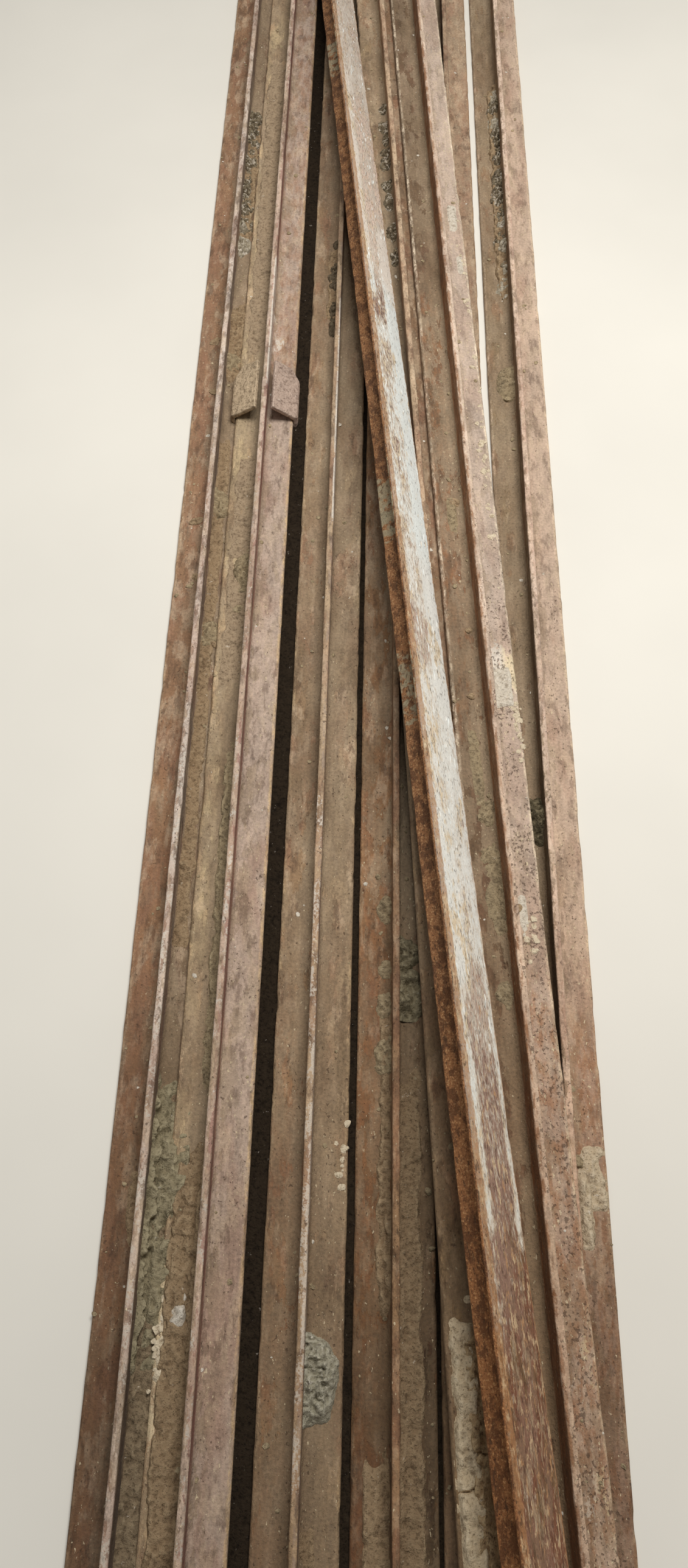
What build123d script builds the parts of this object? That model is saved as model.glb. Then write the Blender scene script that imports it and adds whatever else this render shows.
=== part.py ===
from build123d import *
from math import asin, atan, atan2, cos, degrees, hypot, radians, sin, tan
import os

# Bundle of reclaimed rolled steel tee bars, lying loose on a floor.
# Six bars lie side by side with the web up, two more lie skewed across their webs,
# and one lies on its side across the top. A pair of bent edge clips grips one bar.
# All sizes are in millimetres. X runs across the bundle, Y along it and Z up.

# Rolled tee section, flange down and web up
flange_width = 60.0
tee_height = 30.0
flange_thickness = 5.5
web_thickness = 5.5
root_radius = 5.5
flange_toe_radius = 2.75
web_toe_radius = 1.4
bar_length = 3000.0

# Lower layer, numbered from left to right
# Each bar starts at the far end, one gap right of the bar before it, and drifts to the near end
lap_on_first_bar = 10.0
far_gap_2_to_3 = 11.0
far_gap_3_to_4 = 0.6
far_gap_4_to_5 = 0.6
far_gap_5_to_6 = 6.9
drift_of_bar_4 = 7.2
drift_of_bar_5 = 10.5
drift_of_bar_6 = 11.0

# Upper pair, parallel to each other and skewed across the webs of the lower layer
pair_skew = 3.24
pair_offset_from_bar_4 = 22.4
lap_on_first_upper_bar = 15.0

# Crossing bar, on its side with the flat of its flange facing up and to the right
crossing_skew = 5.5
crossing_flange_slope = 59.3
crossing_offset_from_pair = -17.5

# Edge clips, bent from flat plate and hooked on the flange of lower bar 2
clip_thickness = 4.5
clip_length = 66.0
clip_bend_radius = 1.0
clip_side_fit = 0.6
clip_fit = 0.2
clip_return = 9.0
clip_wing_slope = 33.0
clip_web_clearance = 5.5
clip_station = 144.0
clip_corner_radius = 4.0
clip_chamfer_across = 9.0
clip_chamfer_along = 14.0

# Clearance left where a tilted bar rests on a rounded edge
rest_clearance = 0.2

# How far each bar's middle lies beyond the middle of the bundle
end_offsets = {
    "lower_bar_1": 0.0,
    "lower_bar_2": 9.0,
    "lower_bar_3": -6.0,
    "lower_bar_4": 4.0,
    "lower_bar_5": -10.0,
    "lower_bar_6": 7.0,
    "upper_bar_1": -4.0,
    "upper_bar_2": 12.0,
    "crossing_bar": -80.0,
}


def tee_section():
    """Tee outline in the XZ plane, with its origin at the middle of the flange underside."""
    with BuildSketch(Plane.XZ) as section:
        Rectangle(flange_width, flange_thickness, align=(Align.CENTER, Align.MIN))
        Rectangle(web_thickness, tee_height, align=(Align.CENTER, Align.MIN))
        corners = section.vertices()
        roots = [v for v in corners if abs(v.Y - flange_thickness) < 0.01 and abs(v.X) < web_thickness]
        fillet(roots, root_radius)
        corners = section.vertices()
        toes = [v for v in corners if abs(v.Y - flange_thickness) < 0.01 and abs(v.X) > flange_width / 2 - 0.01]
        fillet(toes, flange_toe_radius)
        tips = [v for v in section.vertices() if abs(v.Y - tee_height) < 0.01]
        fillet(tips, web_toe_radius)
    return section.sketch


def tee_bar():
    """One straight bar, centred on its length."""
    return extrude(tee_section(), amount=bar_length / 2, both=True)


def turned(across, up, roll):
    """Where a point of the section goes when the bar is rolled about its own length."""
    angle = radians(roll)
    return across * cos(angle) + up * sin(angle), up * cos(angle) - across * sin(angle)


def solve_roll(arm, rise, height):
    """Roll in degrees for which arm * sin(roll) + rise * cos(roll) equals height."""
    return degrees(asin(height / hypot(arm, rise)) - atan2(rise, arm))


# Lower layer
pitch_12 = flange_width - lap_on_first_bar
far_x = {"lower_bar_1": 0.0, "lower_bar_2": pitch_12}
far_x["lower_bar_3"] = far_x["lower_bar_2"] + flange_width + far_gap_2_to_3
far_x["lower_bar_4"] = far_x["lower_bar_3"] + flange_width + far_gap_3_to_4
far_x["lower_bar_5"] = far_x["lower_bar_4"] + flange_width + far_gap_4_to_5
far_x["lower_bar_6"] = far_x["lower_bar_5"] + flange_width + far_gap_5_to_6
drift = {"lower_bar_4": drift_of_bar_4, "lower_bar_5": drift_of_bar_5, "lower_bar_6": drift_of_bar_6}
middle_x = {name: x + drift.get(name, 0.0) / 2 for name, x in far_x.items()}

# Lower bar 2 laps the rounded toe of bar 1, and its other edge sits on the return of the right clip
toe_across = flange_width / 2 - flange_toe_radius
toe_up = flange_thickness - flange_toe_radius
toe_reach = flange_toe_radius + rest_clearance
lap_contact = lap_on_first_bar - flange_width / 2
bend_outer_radius = clip_bend_radius + clip_thickness
bend_across = flange_width / 2 + clip_side_fit - clip_bend_radius
bend_up = clip_bend_radius - clip_fit
roll_2 = solve_roll(bend_across - lap_contact, -bend_up - toe_reach, toe_up - bend_outer_radius)
lap_across, lap_up = turned(-lap_contact, toe_reach, roll_2)
base_2_x = middle_x["lower_bar_1"] + toe_across + lap_across
base_2 = toe_up + lap_up

# The upper pair rests on the webs below, and the second bar laps the rounded toe of the first
web_level = tee_height
pair_x = middle_x["lower_bar_4"] + pair_offset_from_bar_4
lap_span = flange_width - lap_on_first_upper_bar
roll_u2 = solve_roll(lap_span, -toe_reach, toe_up - rest_clearance)
lap_across, lap_up = turned(lap_span - flange_width / 2, toe_reach, roll_u2)
axis_u2_across = toe_across + lap_across
axis_u2_up = web_level + toe_up + lap_up

# The crossing bar bears with its flange toe on one web tip and with its own web tip on another
tip_flat = web_thickness / 2 - web_toe_radius
tip_up = tee_height - web_toe_radius
crossing_roll = 180.0 + crossing_flange_slope
crossing_x = pair_x + crossing_offset_from_pair
crossing_toe_across, crossing_toe_up = turned(-toe_across, toe_up, crossing_roll)
crossing_tip_across, crossing_tip_up = turned(-tip_flat, tip_up, crossing_roll)
tip_2_across, tip_2_up = turned(-tip_flat, tip_up, roll_2)
toe_drift = tan(radians(crossing_skew)) - tan(radians(pair_skew))
tip_drift = tan(radians(crossing_skew))
toe_start = crossing_x + crossing_toe_across - (pair_x - tip_flat)
tip_start = crossing_x + crossing_tip_across - (base_2_x + tip_2_across)
toe_station = toe_start / toe_drift
tip_station = tip_start / tip_drift


def passing_height(start, sideways, fall, reach):
    """Height at the middle that lets one falling round edge just clear another that it drifts across."""
    return (start * fall + reach * hypot(sideways, fall)) / sideways


crossing_fall = 0.0
for _ in range(8):
    toe_height = passing_height(toe_start, toe_drift, crossing_fall, toe_reach + web_toe_radius)
    tip_height = passing_height(tip_start, tip_drift, crossing_fall, 2 * web_toe_radius + rest_clearance)
    level_by_toe = web_level + tip_up + toe_height - crossing_toe_up
    level_by_tip = base_2 + tip_2_up + tip_height - crossing_tip_up
    crossing_fall += (level_by_toe - level_by_tip) / (tip_station - toe_station)
crossing_level = level_by_toe


def lower_bar(name):
    """A bar of the lower layer, flat on the floor."""
    skew = degrees(atan(drift.get(name, 0.0) / bar_length))
    place = Pos(middle_x[name], end_offsets[name], 0) * Rot(0, 0, skew)
    return place * tee_bar()


def second_bar_place():
    return Pos(base_2_x, end_offsets["lower_bar_2"], base_2) * Rot(0, roll_2, 0)


def upper_bar(name, across, up, roll):
    """A bar of the upper pair, placed in the skewed frame of the pair."""
    place = Pos(pair_x, 0, 0) * Rot(0, 0, pair_skew) * Pos(across, end_offsets[name], up) * Rot(0, roll, 0)
    return place * tee_bar()


def crossing_bar():
    """The bar on its side, which slopes down to the far end."""
    along = end_offsets["crossing_bar"]
    slope = degrees(atan(crossing_fall * cos(radians(crossing_skew))))
    place = Pos(crossing_x, 0, crossing_level) * Rot(0, 0, crossing_skew) * Rot(-slope, 0, 0)
    return place * Pos(0, along, 0) * Rot(0, crossing_roll, 0) * tee_bar()


def edge_clip(side, hooked):
    """Bent plate round one flange edge, with a wing that rises towards the web.

    side is 1 for the right edge and -1 for the left. A hooked clip also turns in under the flange.
    """
    half = clip_thickness / 2
    outside = flange_width / 2 + clip_side_fit + half
    top = flange_thickness + clip_fit + half
    inner = web_thickness / 2 + clip_web_clearance
    rise = (outside - inner) * tan(radians(clip_wing_slope))
    points = [(side * outside, top), (side * inner, top + rise)]
    if hooked:
        low = -clip_fit - half
        points = [(side * (outside - clip_return), low), (side * outside, low)] + points
    else:
        points = [(side * outside, 0)] + points
    with BuildSketch(Plane.XZ) as profile:
        with BuildLine():
            path = FilletPolyline(*points, radius=clip_bend_radius + half)
        trace(path, clip_thickness)
    strip = extrude(profile.sketch, amount=clip_length / 2, both=True)
    edge = flange_width / 2 + clip_side_fit + clip_thickness
    reach = edge - inner + clip_thickness
    with BuildSketch(Plane.XY) as outline:
        with Locations((side * (edge - reach / 2), 0)):
            Rectangle(reach, clip_length)
        near_corners = outline.vertices().filter_by(lambda v: v.Y < 0)
        fillet(near_corners, clip_corner_radius)
    with BuildSketch(Plane.XY) as corner:
        far = clip_length / 2
        Polygon(
            (side * edge, far),
            (side * edge, far - clip_chamfer_along),
            (side * (edge - clip_chamfer_across), far),
            align=None,
        )
    tall = tee_height + flange_width
    blank = extrude(outline.sketch, amount=tall, both=True) - extrude(corner.sketch, amount=tall, both=True)
    return second_bar_place() * Pos(0, clip_station, 0) * (strip & blank)


nodes = {
    "lower_bar_1": lower_bar("lower_bar_1"),
    "lower_bar_2": second_bar_place() * tee_bar(),
    "lower_bar_3": lower_bar("lower_bar_3"),
    "lower_bar_4": lower_bar("lower_bar_4"),
    "lower_bar_5": lower_bar("lower_bar_5"),
    "lower_bar_6": lower_bar("lower_bar_6"),
    "upper_bar_1": upper_bar("upper_bar_1", 0.0, web_level, 0.0),
    "upper_bar_2": upper_bar("upper_bar_2", axis_u2_across, axis_u2_up, roll_u2),
    "crossing_bar": crossing_bar(),
    "edge_clip_left": edge_clip(-1, hooked=False),
    "edge_clip_right": edge_clip(1, hooked=True),
}

# The origin is the middle of the bundle's footprint, at floor level
box = Compound(children=[shape.solid() for shape in nodes.values()]).bounding_box()
to_origin = Pos(-box.center().X, -box.center().Y, -box.min.Z)

os.makedirs("parts", exist_ok=True)
for name, shape in nodes.items():
    export_step(to_origin * shape.solid(), f"parts/{name}.step")

print("bundle size", round(box.size.X, 1), round(box.size.Y, 1), round(box.size.Z, 1))
print("second lower bar: roll", round(roll_2, 2), "base", round(base_2, 2), "lowest z", round(box.min.Z, 3))
print("second upper bar: roll", round(roll_u2, 2))
print("crossing bar bears at", round(toe_station, 1), "and", round(tip_station, 1), "fall", round(crossing_fall, 4))
print("shift", round(box.center().X, 2), round(box.center().Y, 2))
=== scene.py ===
# %% [markdown]
# # A bundle of rusty steel tee bars
#
# The CAD model already holds the true shapes: nine rolled bars and two bent clips, each where it lies.
# They are clean and sharp, as if they had just left the rolling mill.
# This lesson gives them years of rust, mud and old paint without moving a single bar.
#
# All lengths in Blender are metres, and X runs across the bundle, Y along it and Z up.

# %% Load the packed model
import math

import bmesh
import bpy
import numpy as np
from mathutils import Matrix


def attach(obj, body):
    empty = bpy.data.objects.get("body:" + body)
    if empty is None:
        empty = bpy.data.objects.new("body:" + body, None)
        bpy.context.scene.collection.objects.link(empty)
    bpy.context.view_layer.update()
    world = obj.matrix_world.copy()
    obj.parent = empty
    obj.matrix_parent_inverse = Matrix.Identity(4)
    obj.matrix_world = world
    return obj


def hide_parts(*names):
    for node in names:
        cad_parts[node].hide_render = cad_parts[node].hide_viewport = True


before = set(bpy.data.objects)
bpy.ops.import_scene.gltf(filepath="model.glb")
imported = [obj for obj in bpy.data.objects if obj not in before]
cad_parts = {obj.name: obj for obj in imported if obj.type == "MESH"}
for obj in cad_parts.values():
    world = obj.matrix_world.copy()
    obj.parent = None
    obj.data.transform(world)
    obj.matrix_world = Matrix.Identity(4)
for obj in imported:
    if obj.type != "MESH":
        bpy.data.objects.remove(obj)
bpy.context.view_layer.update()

MM = 0.001

# %% [markdown]
# ## Where each bar lies
#
# Some bars are skewed and some are rolled on their side, so a box around them says little.
# We could type their angles again, but then two files would have to agree.
# Instead we ask the part itself. The broadest flat face of a tee bar is the underside of its flange.
# Its normal tells which way the web points, and the middles of its two short ends give the bar's line.

# %% Read a bar's own axes from its flange underside


def bar_place(node):
    """Near end, axes and length of a bar.

    The web stands along `up`, and `sideways` runs across the flange.
    """
    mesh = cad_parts[node].data
    broadest = max(mesh.polygons, key=lambda face: face.area)
    down = broadest.normal.copy()
    corners = {v for face in mesh.polygons if face.normal.dot(down) > 0.9999 for v in face.vertices}
    points = np.array([mesh.vertices[v].co for v in corners])
    middle = points[:, 1].mean()
    near = points[points[:, 1] < middle]
    far = points[points[:, 1] > middle]
    near_end = (near.min(0) + near.max(0)) / 2
    far_end = (far.min(0) + far.max(0)) / 2
    along = (far_end - near_end) / np.linalg.norm(far_end - near_end)
    up = -np.array(down)
    return {
        "near": near_end,
        "along": along,
        "up": up,
        "sideways": np.cross(along, up),
        "length": float(np.linalg.norm(far_end - near_end)),
    }


BARS = [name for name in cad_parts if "bar" in name]
places = {name: bar_place(name) for name in BARS}
for name in sorted(places):
    print(name, "near end", places[name]["near"].round(3), "along", places[name]["along"].round(4))

# %% [markdown]
# ## Random grain that is the same every time
#
# Rust swells, mud dries in lumps and edges wear unevenly. All of that needs smooth random numbers.
# A plain random number per vertex would look like static, because neighbours have nothing in common.
# Here random values sit on a coarse grid and are blended between its points.
# The grid values come from whole-number arithmetic on their place, so a second run gives the same bars.

# %% Smooth random values on numpy arrays
HASH_STEPS = np.array([73856093, 19349663, 83492791])


def smooth_step(low, high, value):
    share = np.clip((value - low) / (high - low), 0, 1)
    return share * share * (3 - 2 * share)


def grain(points, size, seed):
    """Values from -1 to 1 that change over about `size` metres, which may differ for each axis."""
    cell = points / np.array(size) + seed * 17.31
    low = np.floor(cell).astype(np.int64)
    share = cell - low
    share = share * share * (3 - 2 * share)
    total = np.zeros(len(points))
    for corner in np.ndindex(2, 2, 2):
        key = (low + corner) @ HASH_STEPS
        key = ((key ^ (key >> 13)) * 1274126177) & 0xFFFFFFFF
        value = ((key ^ (key >> 15)) & 0xFFFF) / 32767.5 - 1
        total += value * np.prod(np.where(corner, share, 1 - share), axis=1)
    return total


sample = grain(np.random.default_rng(1).random((5000, 3)), 0.1, 3)
print("grain runs from", round(sample.min(), 2), "to", round(sample.max(), 2))

# %% [markdown]
# ## The rolled section, with enough points to rust
#
# The CAD part has only a few long faces. That is right for a true shape, but rust needs points to move.
# Subdividing those long thin faces would give slivers, so the outline is drawn again from its rolled sizes
# and swept along each bar's own line. The sizes are the same, so the clean skin would lie on the old one.

# %% Draw the tee outline with its outward normals
FLANGE_WIDTH = 60 * MM
TEE_HEIGHT = 30 * MM
THICKNESS = 5.5 * MM
ROOT_RADIUS = 5.5 * MM
FLANGE_TOE_RADIUS = 2.75 * MM
WEB_TOE_RADIUS = 1.4 * MM
HALF_WEB = THICKNESS / 2
HALF_FLANGE = FLANGE_WIDTH / 2


def straight(start, end, steps):
    """Points from start up to but not including end."""
    share = np.arange(steps)[:, None] / steps
    return np.array(start) * (1 - share) + np.array(end) * share


def arc(middle, radius, start_degrees, end_degrees, steps):
    """Points round an arc, without its last one."""
    turn = np.radians(start_degrees + (end_degrees - start_degrees) * np.arange(steps) / steps)
    return np.array(middle) + radius * np.column_stack([np.cos(turn), np.sin(turn)])


def tee_outline(underside_steps):
    """Points round the section, across and up, and the outward normal at each."""
    toe = HALF_FLANGE - FLANGE_TOE_RADIUS
    root = HALF_WEB + ROOT_RADIUS
    tip = HALF_WEB - WEB_TOE_RADIUS
    right = np.vstack([
        straight((0, 0), (HALF_FLANGE, 0), underside_steps),
        straight((HALF_FLANGE, 0), (HALF_FLANGE, THICKNESS - FLANGE_TOE_RADIUS), 1),
        arc((toe, THICKNESS - FLANGE_TOE_RADIUS), FLANGE_TOE_RADIUS, 0, 90, 4),
        straight((toe, THICKNESS), (root, THICKNESS), 8),
        arc((root, THICKNESS + ROOT_RADIUS), ROOT_RADIUS, 270, 180, 4),
        straight((HALF_WEB, THICKNESS + ROOT_RADIUS), (HALF_WEB, TEE_HEIGHT - WEB_TOE_RADIUS), 5),
        arc((tip, TEE_HEIGHT - WEB_TOE_RADIUS), WEB_TOE_RADIUS, 0, 90, 3),
        straight((tip, TEE_HEIGHT), (0, TEE_HEIGHT), 1),
    ])
    top_middle = np.array([[0, TEE_HEIGHT]])
    left = right[:0:-1] * (-1, 1)
    ring = np.vstack([right, top_middle, left])
    tangent = np.roll(ring, -1, axis=0) - np.roll(ring, 1, axis=0)
    normal = np.column_stack([tangent[:, 1], -tangent[:, 0]])
    return ring, normal / np.linalg.norm(normal, axis=1)[:, None]


print("points round the section:", len(tee_outline(3)[0]))

# %% [markdown]
# ## What rust does to a rolled surface
#
# Rust is thicker than the steel it eats, so a rusty bar swells in patches and is bitten at its thin edges.
# Several sizes of grain are added up: long swellings, scabs of scale, and small bites out of the thin edges.
# The underside of a bar that stands on its flange stays flat, so that it still sits on what is below it.

# %% Heights of rust over the clean surface


def rust_relief(local, seed, flat_underside):
    """How far the rusty surface stands out of the rolled one. local holds across, along and up."""
    across, _, up = local.T
    swelling = 0.16 * MM * grain(local, (22 * MM, 70 * MM, 22 * MM), seed)
    swelling += 0.10 * MM * grain(local, (6 * MM, 13 * MM, 6 * MM), seed + 1)
    scabs = 0.28 * MM * smooth_step(0.2, 0.5, grain(local, (9 * MM, 21 * MM, 9 * MM), seed + 2))
    edge = smooth_step(HALF_FLANGE - 2.5 * MM, HALF_FLANGE - 0.8 * MM, np.abs(across))
    bites = 0.9 * MM * edge * smooth_step(0.25, 0.8, grain(local, (7 * MM, 11 * MM, 7 * MM), seed + 3))
    web_tip = smooth_step(TEE_HEIGHT - 2 * MM, TEE_HEIGHT, up)
    notches = 0.5 * MM * web_tip * smooth_step(0.3, 0.8, grain(local, (9 * MM, 14 * MM, 9 * MM), seed + 4))
    height = swelling + scabs - bites - notches
    if flat_underside:
        height *= smooth_step(0.3 * MM, 1.5 * MM, up)
    return height


sample_places = np.random.default_rng(2).uniform((-30, 0, 0), (30, 500, 30), (5000, 3)) * MM
sample = rust_relief(sample_places, 5, True) / MM
print("rust moves the surface by", round(sample.min(), 2), "to", round(sample.max(), 2), "mm")

# %% [markdown]
# ## Coats listed one by one
#
# A material can break a patch into specks by itself, but it can't know where the old paint was.
# So each bar gets a short list of zones: what kind of coat, on which face, and from where to where along Y.
# They are stored on the vertices as an attribute with three channels: pale paint, mud and orange rust.
# The material reads that attribute later and frays its edges with fine noise.

# %% Turn a list of zones into a vertex attribute
FACES = {
    "left": lambda across, up: (across < -HALF_WEB) & (up < THICKNESS + ROOT_RADIUS),
    "right": lambda across, up: (across > HALF_WEB) & (up < THICKNESS + ROOT_RADIUS),
    "left_root": lambda across, up: (across < 0) & (across > -16 * MM) & (up < 14 * MM),
    "right_root": lambda across, up: (across > 0) & (across < 16 * MM) & (up < 14 * MM),
    "left_edge": lambda across, up: across < -24 * MM,
    "web_left": lambda across, up: (across < -1 * MM) & (up > 9 * MM),
    "web_right": lambda across, up: (across > 1 * MM) & (up > 9 * MM),
    "web_top": lambda across, up: up > 28 * MM,
    "all": lambda across, up: np.ones(len(up)),
    "underside": lambda across, up: up < 1.5 * MM,
    "inner": lambda across, up: up > 3 * MM,
    "high_side": lambda across, up: smooth_step(-6 * MM, 8 * MM, across),
    "low_side": lambda across, up: smooth_step(6 * MM, -8 * MM, across),
    "high_edge": lambda across, up: smooth_step(6 * MM, 22 * MM, across),
    "low_edge": lambda across, up: smooth_step(-14 * MM, -24 * MM, across),
}
COATS = {"pale": 0, "mud": 1, "orange": 2}
ZONE_FADE = 45 * MM


def coat_attribute(local, row_y, zones):
    """Three channels per point. A zone is coat, face, first y, last y and strength."""
    across, _, up = local.T
    coat = np.zeros((len(local), 3))
    for kind, face, y_first, y_last, strength in zones:
        start = smooth_step(y_first - ZONE_FADE, y_first, row_y)
        stop = 1 - smooth_step(y_last, y_last + ZONE_FADE, row_y)
        amount = start * stop * strength * FACES[face](across, up).astype(float)
        channel = COATS[kind]
        coat[:, channel] = np.maximum(coat[:, channel], amount)
    return coat


print("faces that a coat can lie on:", ", ".join(FACES))

# %% [markdown]
# ## Sweep the skin
#
# One ring of points is repeated every few millimetres along the bar, and neighbours are joined with quads.
# A modifier could do the sweep too, but numpy arrays let us say exactly where each point goes.
# Each vertex also keeps its place in the bar's own axes. Patterns that follow the bar need that,
# because stains and flaking run along the steel, and not along the room.

# %% Build one skin
STATION_SPACING = 6 * MM


def store_vectors(mesh, name, values):
    layer = mesh.attributes.new(name, "FLOAT_VECTOR", "POINT")
    layer.data.foreach_set("vector", np.ascontiguousarray(values, np.float32).ravel())


def grid_faces(rows, columns, closed):
    """Quads over a grid of points, joined round its rows if it is closed."""
    last = columns if closed else columns - 1
    row, column = np.meshgrid(np.arange(rows - 1), np.arange(last), indexing="ij")
    beside = (column + 1) % columns
    here = row * columns + column
    next_here = row * columns + beside
    return np.stack([here, next_here, next_here + columns, here + columns], axis=-1).reshape(-1, 4)


def new_piece(name, points, faces, sharp_degrees=40):
    """A smooth shaded mesh that rides on the bundle."""
    mesh = bpy.data.meshes.new(name)
    mesh.from_pydata(points.tolist(), [], faces)
    mesh.shade_smooth()
    mesh.set_sharp_from_angle(angle=math.radians(sharp_degrees))
    piece = bpy.data.objects.new(name, mesh)
    bpy.context.scene.collection.objects.link(piece)
    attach(piece, "root")
    return piece


def rusty_bar(node, seed, zones, underside_steps, flat_underside):
    """The dressed skin of a bar, in place of its CAD part."""
    place = places[node]
    ring, normal = tee_outline(underside_steps)
    stations = round(place["length"] / STATION_SPACING) + 1
    along = np.repeat(np.linspace(0, place["length"], stations), len(ring))
    local = np.column_stack([np.tile(ring[:, 0], stations), along, np.tile(ring[:, 1], stations)])
    outward = np.tile(normal, (stations, 1)) * rust_relief(local, seed, flat_underside)[:, None]
    across = local[:, 0] + outward[:, 0]
    up = local[:, 2] + outward[:, 1]
    points = place["near"] + np.outer(along, place["along"])
    points += np.outer(across, place["sideways"]) + np.outer(up, place["up"])
    quads = grid_faces(stations, len(ring), closed=True)[:, ::-1]
    last_ring = len(local) - len(ring)
    near_cap = list(range(len(ring)))
    far_cap = list(range(len(local) - 1, last_ring - 1, -1))
    piece = new_piece(node + "_skin", points, quads.tolist() + [near_cap, far_cap])
    store_vectors(piece.data, "place", local)
    store_vectors(piece.data, "coat", coat_attribute(local, points[:, 1], zones))
    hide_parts(node)
    return piece


print("rings in the skin of a 3 m bar:", round(3 / STATION_SPACING) + 1)

# %% [markdown]
# ## Zones seen on each bar
#
# These are the broad coats that a person would notice first: whitened web tops, muddy corners
# and cream paint left on one flange edge. They could be painted by hand in Blender's vertex paint mode,
# but a list can be read, changed and run again. Y is 0 at the middle of the bundle and grows to the far end.

# %% List the zones
ZONES = {
    "lower_bar_1": [
        ("pale", "web_top", -1.5, 0.5, 0.5),
        ("pale", "web_top", -0.9, -0.25, 0.66),
        ("mud", "right", -1.5, 1.5, 0.45),
        ("mud", "right_root", -0.75, -0.5, 0.9),
        ("orange", "left", -1.5, -0.2, 0.35),
    ],
    "lower_bar_2": [
        ("mud", "left", -1.5, 1.5, 0.5),
        ("mud", "left_root", -0.65, -0.2, 0.9),
        ("pale", "left_edge", -0.77, -0.68, 0.85),
        ("pale", "left_edge", -0.41, -0.22, 0.52),
        ("pale", "web_right", 0.2, 0.36, 0.9),
        ("pale", "right_root", 0.25, 0.29, 0.66),
        ("pale", "web_top", -0.9, 0.1, 0.6),
        ("pale", "right", -0.6, 0.2, 0.18),
        ("pale", "right", -0.52, -0.3, 0.4),
        ("orange", "right", 0.2, 1.5, 0.5),
    ],
    "lower_bar_3": [
        ("mud", "left", -1.5, 1.5, 0.5),
        ("mud", "right", -1.5, 1.5, 0.55),
        ("orange", "left", -1.5, -0.5, 0.5),
        ("pale", "web_right", 0.02, 0.3, 0.9),
        ("pale", "web_right", -0.71, -0.5, 0.8),
        ("pale", "web_top", -0.8, -0.3, 0.7),
    ],
    "lower_bar_4": [
        ("mud", "right", -1.5, 1.5, 0.8),
        ("mud", "left", -1.5, 1.5, 0.35),
        ("orange", "left", -1.5, -0.4, 0.7),
        ("orange", "left", -0.9, -0.1, 0.35),
    ],
    "lower_bar_5": [
        ("mud", "left", -1.5, 1.5, 0.7),
        ("orange", "right", -1.5, 1.5, 0.2),
    ],
    "lower_bar_6": [
        ("mud", "left", -1.5, 1.5, 0.65),
        ("pale", "right_root", -0.5, 0.9, 0.25),
        ("orange", "right", -1.5, -0.5, 0.75),
        ("mud", "right", -1.5, -0.7, 0.3),
    ],
    "upper_bar_1": [
        ("mud", "left", -1.5, 1.5, 0.55),
        ("mud", "left_root", 0.33, 0.62, 0.9),
    ],
    "upper_bar_2": [
        ("mud", "left", -1.5, 1.5, 0.45),
        ("orange", "web_left", -1.5, 1.5, 0.9),
        ("pale", "right", 0.3, 1.5, 0.5),
        ("pale", "right", -0.45, 0.3, 0.35),
        ("pale", "right", -0.18, -0.16, 0.9),
        ("orange", "left", -0.22, 0.3, 0.6),
        ("pale", "right", -0.74, -0.72, 0.62),
        ("pale", "right", -0.81, -0.79, 0.66),
        ("orange", "right", -1.5, -0.48, 0.8),
        ("mud", "right", -1.5, -0.6, 0.15),
    ],
    "crossing_bar": [
        ("pale", "all", -0.52, 1.6, 0.42),
        ("pale", "high_edge", 0.25, 0.62, 0.85),
        ("pale", "all", 0.6, 1.6, 0.55),
        ("pale", "low_side", 0.02, 0.36, 0.98),
        ("pale", "all", -0.14, 0.2, 0.6),
        ("pale", "low_side", -0.24, 0.02, 1.0),
        ("pale", "all", -0.38, -0.22, 0.72),
        ("pale", "high_side", -0.47, -0.36, 1.0),
        ("pale", "all", -0.45, -0.34, 0.7),
        ("pale", "high_edge", -0.64, -0.44, 0.68),
        ("pale", "low_edge", -0.64, -0.44, 0.68),
        ("pale", "all", -0.64, -0.44, 0.34),
        ("pale", "all", -1.6, -0.62, 0.18),
        ("pale", "high_edge", -0.7, -0.6, 0.42),
        ("mud", "all", -1.6, -0.72, 0.95),
        ("mud", "low_side", -0.8, -0.66, 0.9),
        ("orange", "inner", -0.04, 0.0, 0.85),
        ("orange", "inner", -0.24, -0.2, 0.7),
        ("orange", "inner", 0.68, 0.71, 0.8),
        ("orange", "underside", 0.3, 1.6, 1.0),
        ("orange", "underside", -0.5, -0.1, 0.4),
    ],
}
skins = {}
for number, name in enumerate(sorted(BARS)):
    on_its_side = name == "crossing_bar"
    underside_steps = 14 if on_its_side else 3
    seed = 11 * number + 5
    skins[name] = rusty_bar(name, seed, ZONES[name], underside_steps, not on_its_side)
print("quads in one skin:", len(skins["lower_bar_1"].data.polygons))

# %% [markdown]
# ## A short way to write materials
#
# A material is a tree of nodes. It is easy to look at in Blender's shader editor, but long to write as code.
# This small helper adds a node, sets or links its inputs and hands back the output, one line for each step.
# Inputs may be numbers, colours or the outputs of earlier steps.

# %% Turn a paint chart's colour into Blender's


def tone(red, green, blue):
    """A colour as a paint chart gives it, from 0 to 255, for Blender's linear sockets."""
    shares = (np.array([red, green, blue]) / 255 + 0.055) / 1.055
    return (*(shares**2.4).tolist(), 1.0)


print("a middle grey of 128 is", round(tone(128, 128, 128)[0], 3), "in Blender")

# %% [markdown]
# Noise makes all the patterns. A picture of rust would repeat over three metres, and noise doesn't.
# `patches` gives noise that follows the bar: round patches, or long ones when it is drawn out along Y.
# The Mix node has sockets for every kind of value, so those for colours are named by their numbers.

# %% A helper for node materials
MIX_SHARE, MIX_FIRST, MIX_SECOND, MIX_RESULT = 0, 6, 7, 2


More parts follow.
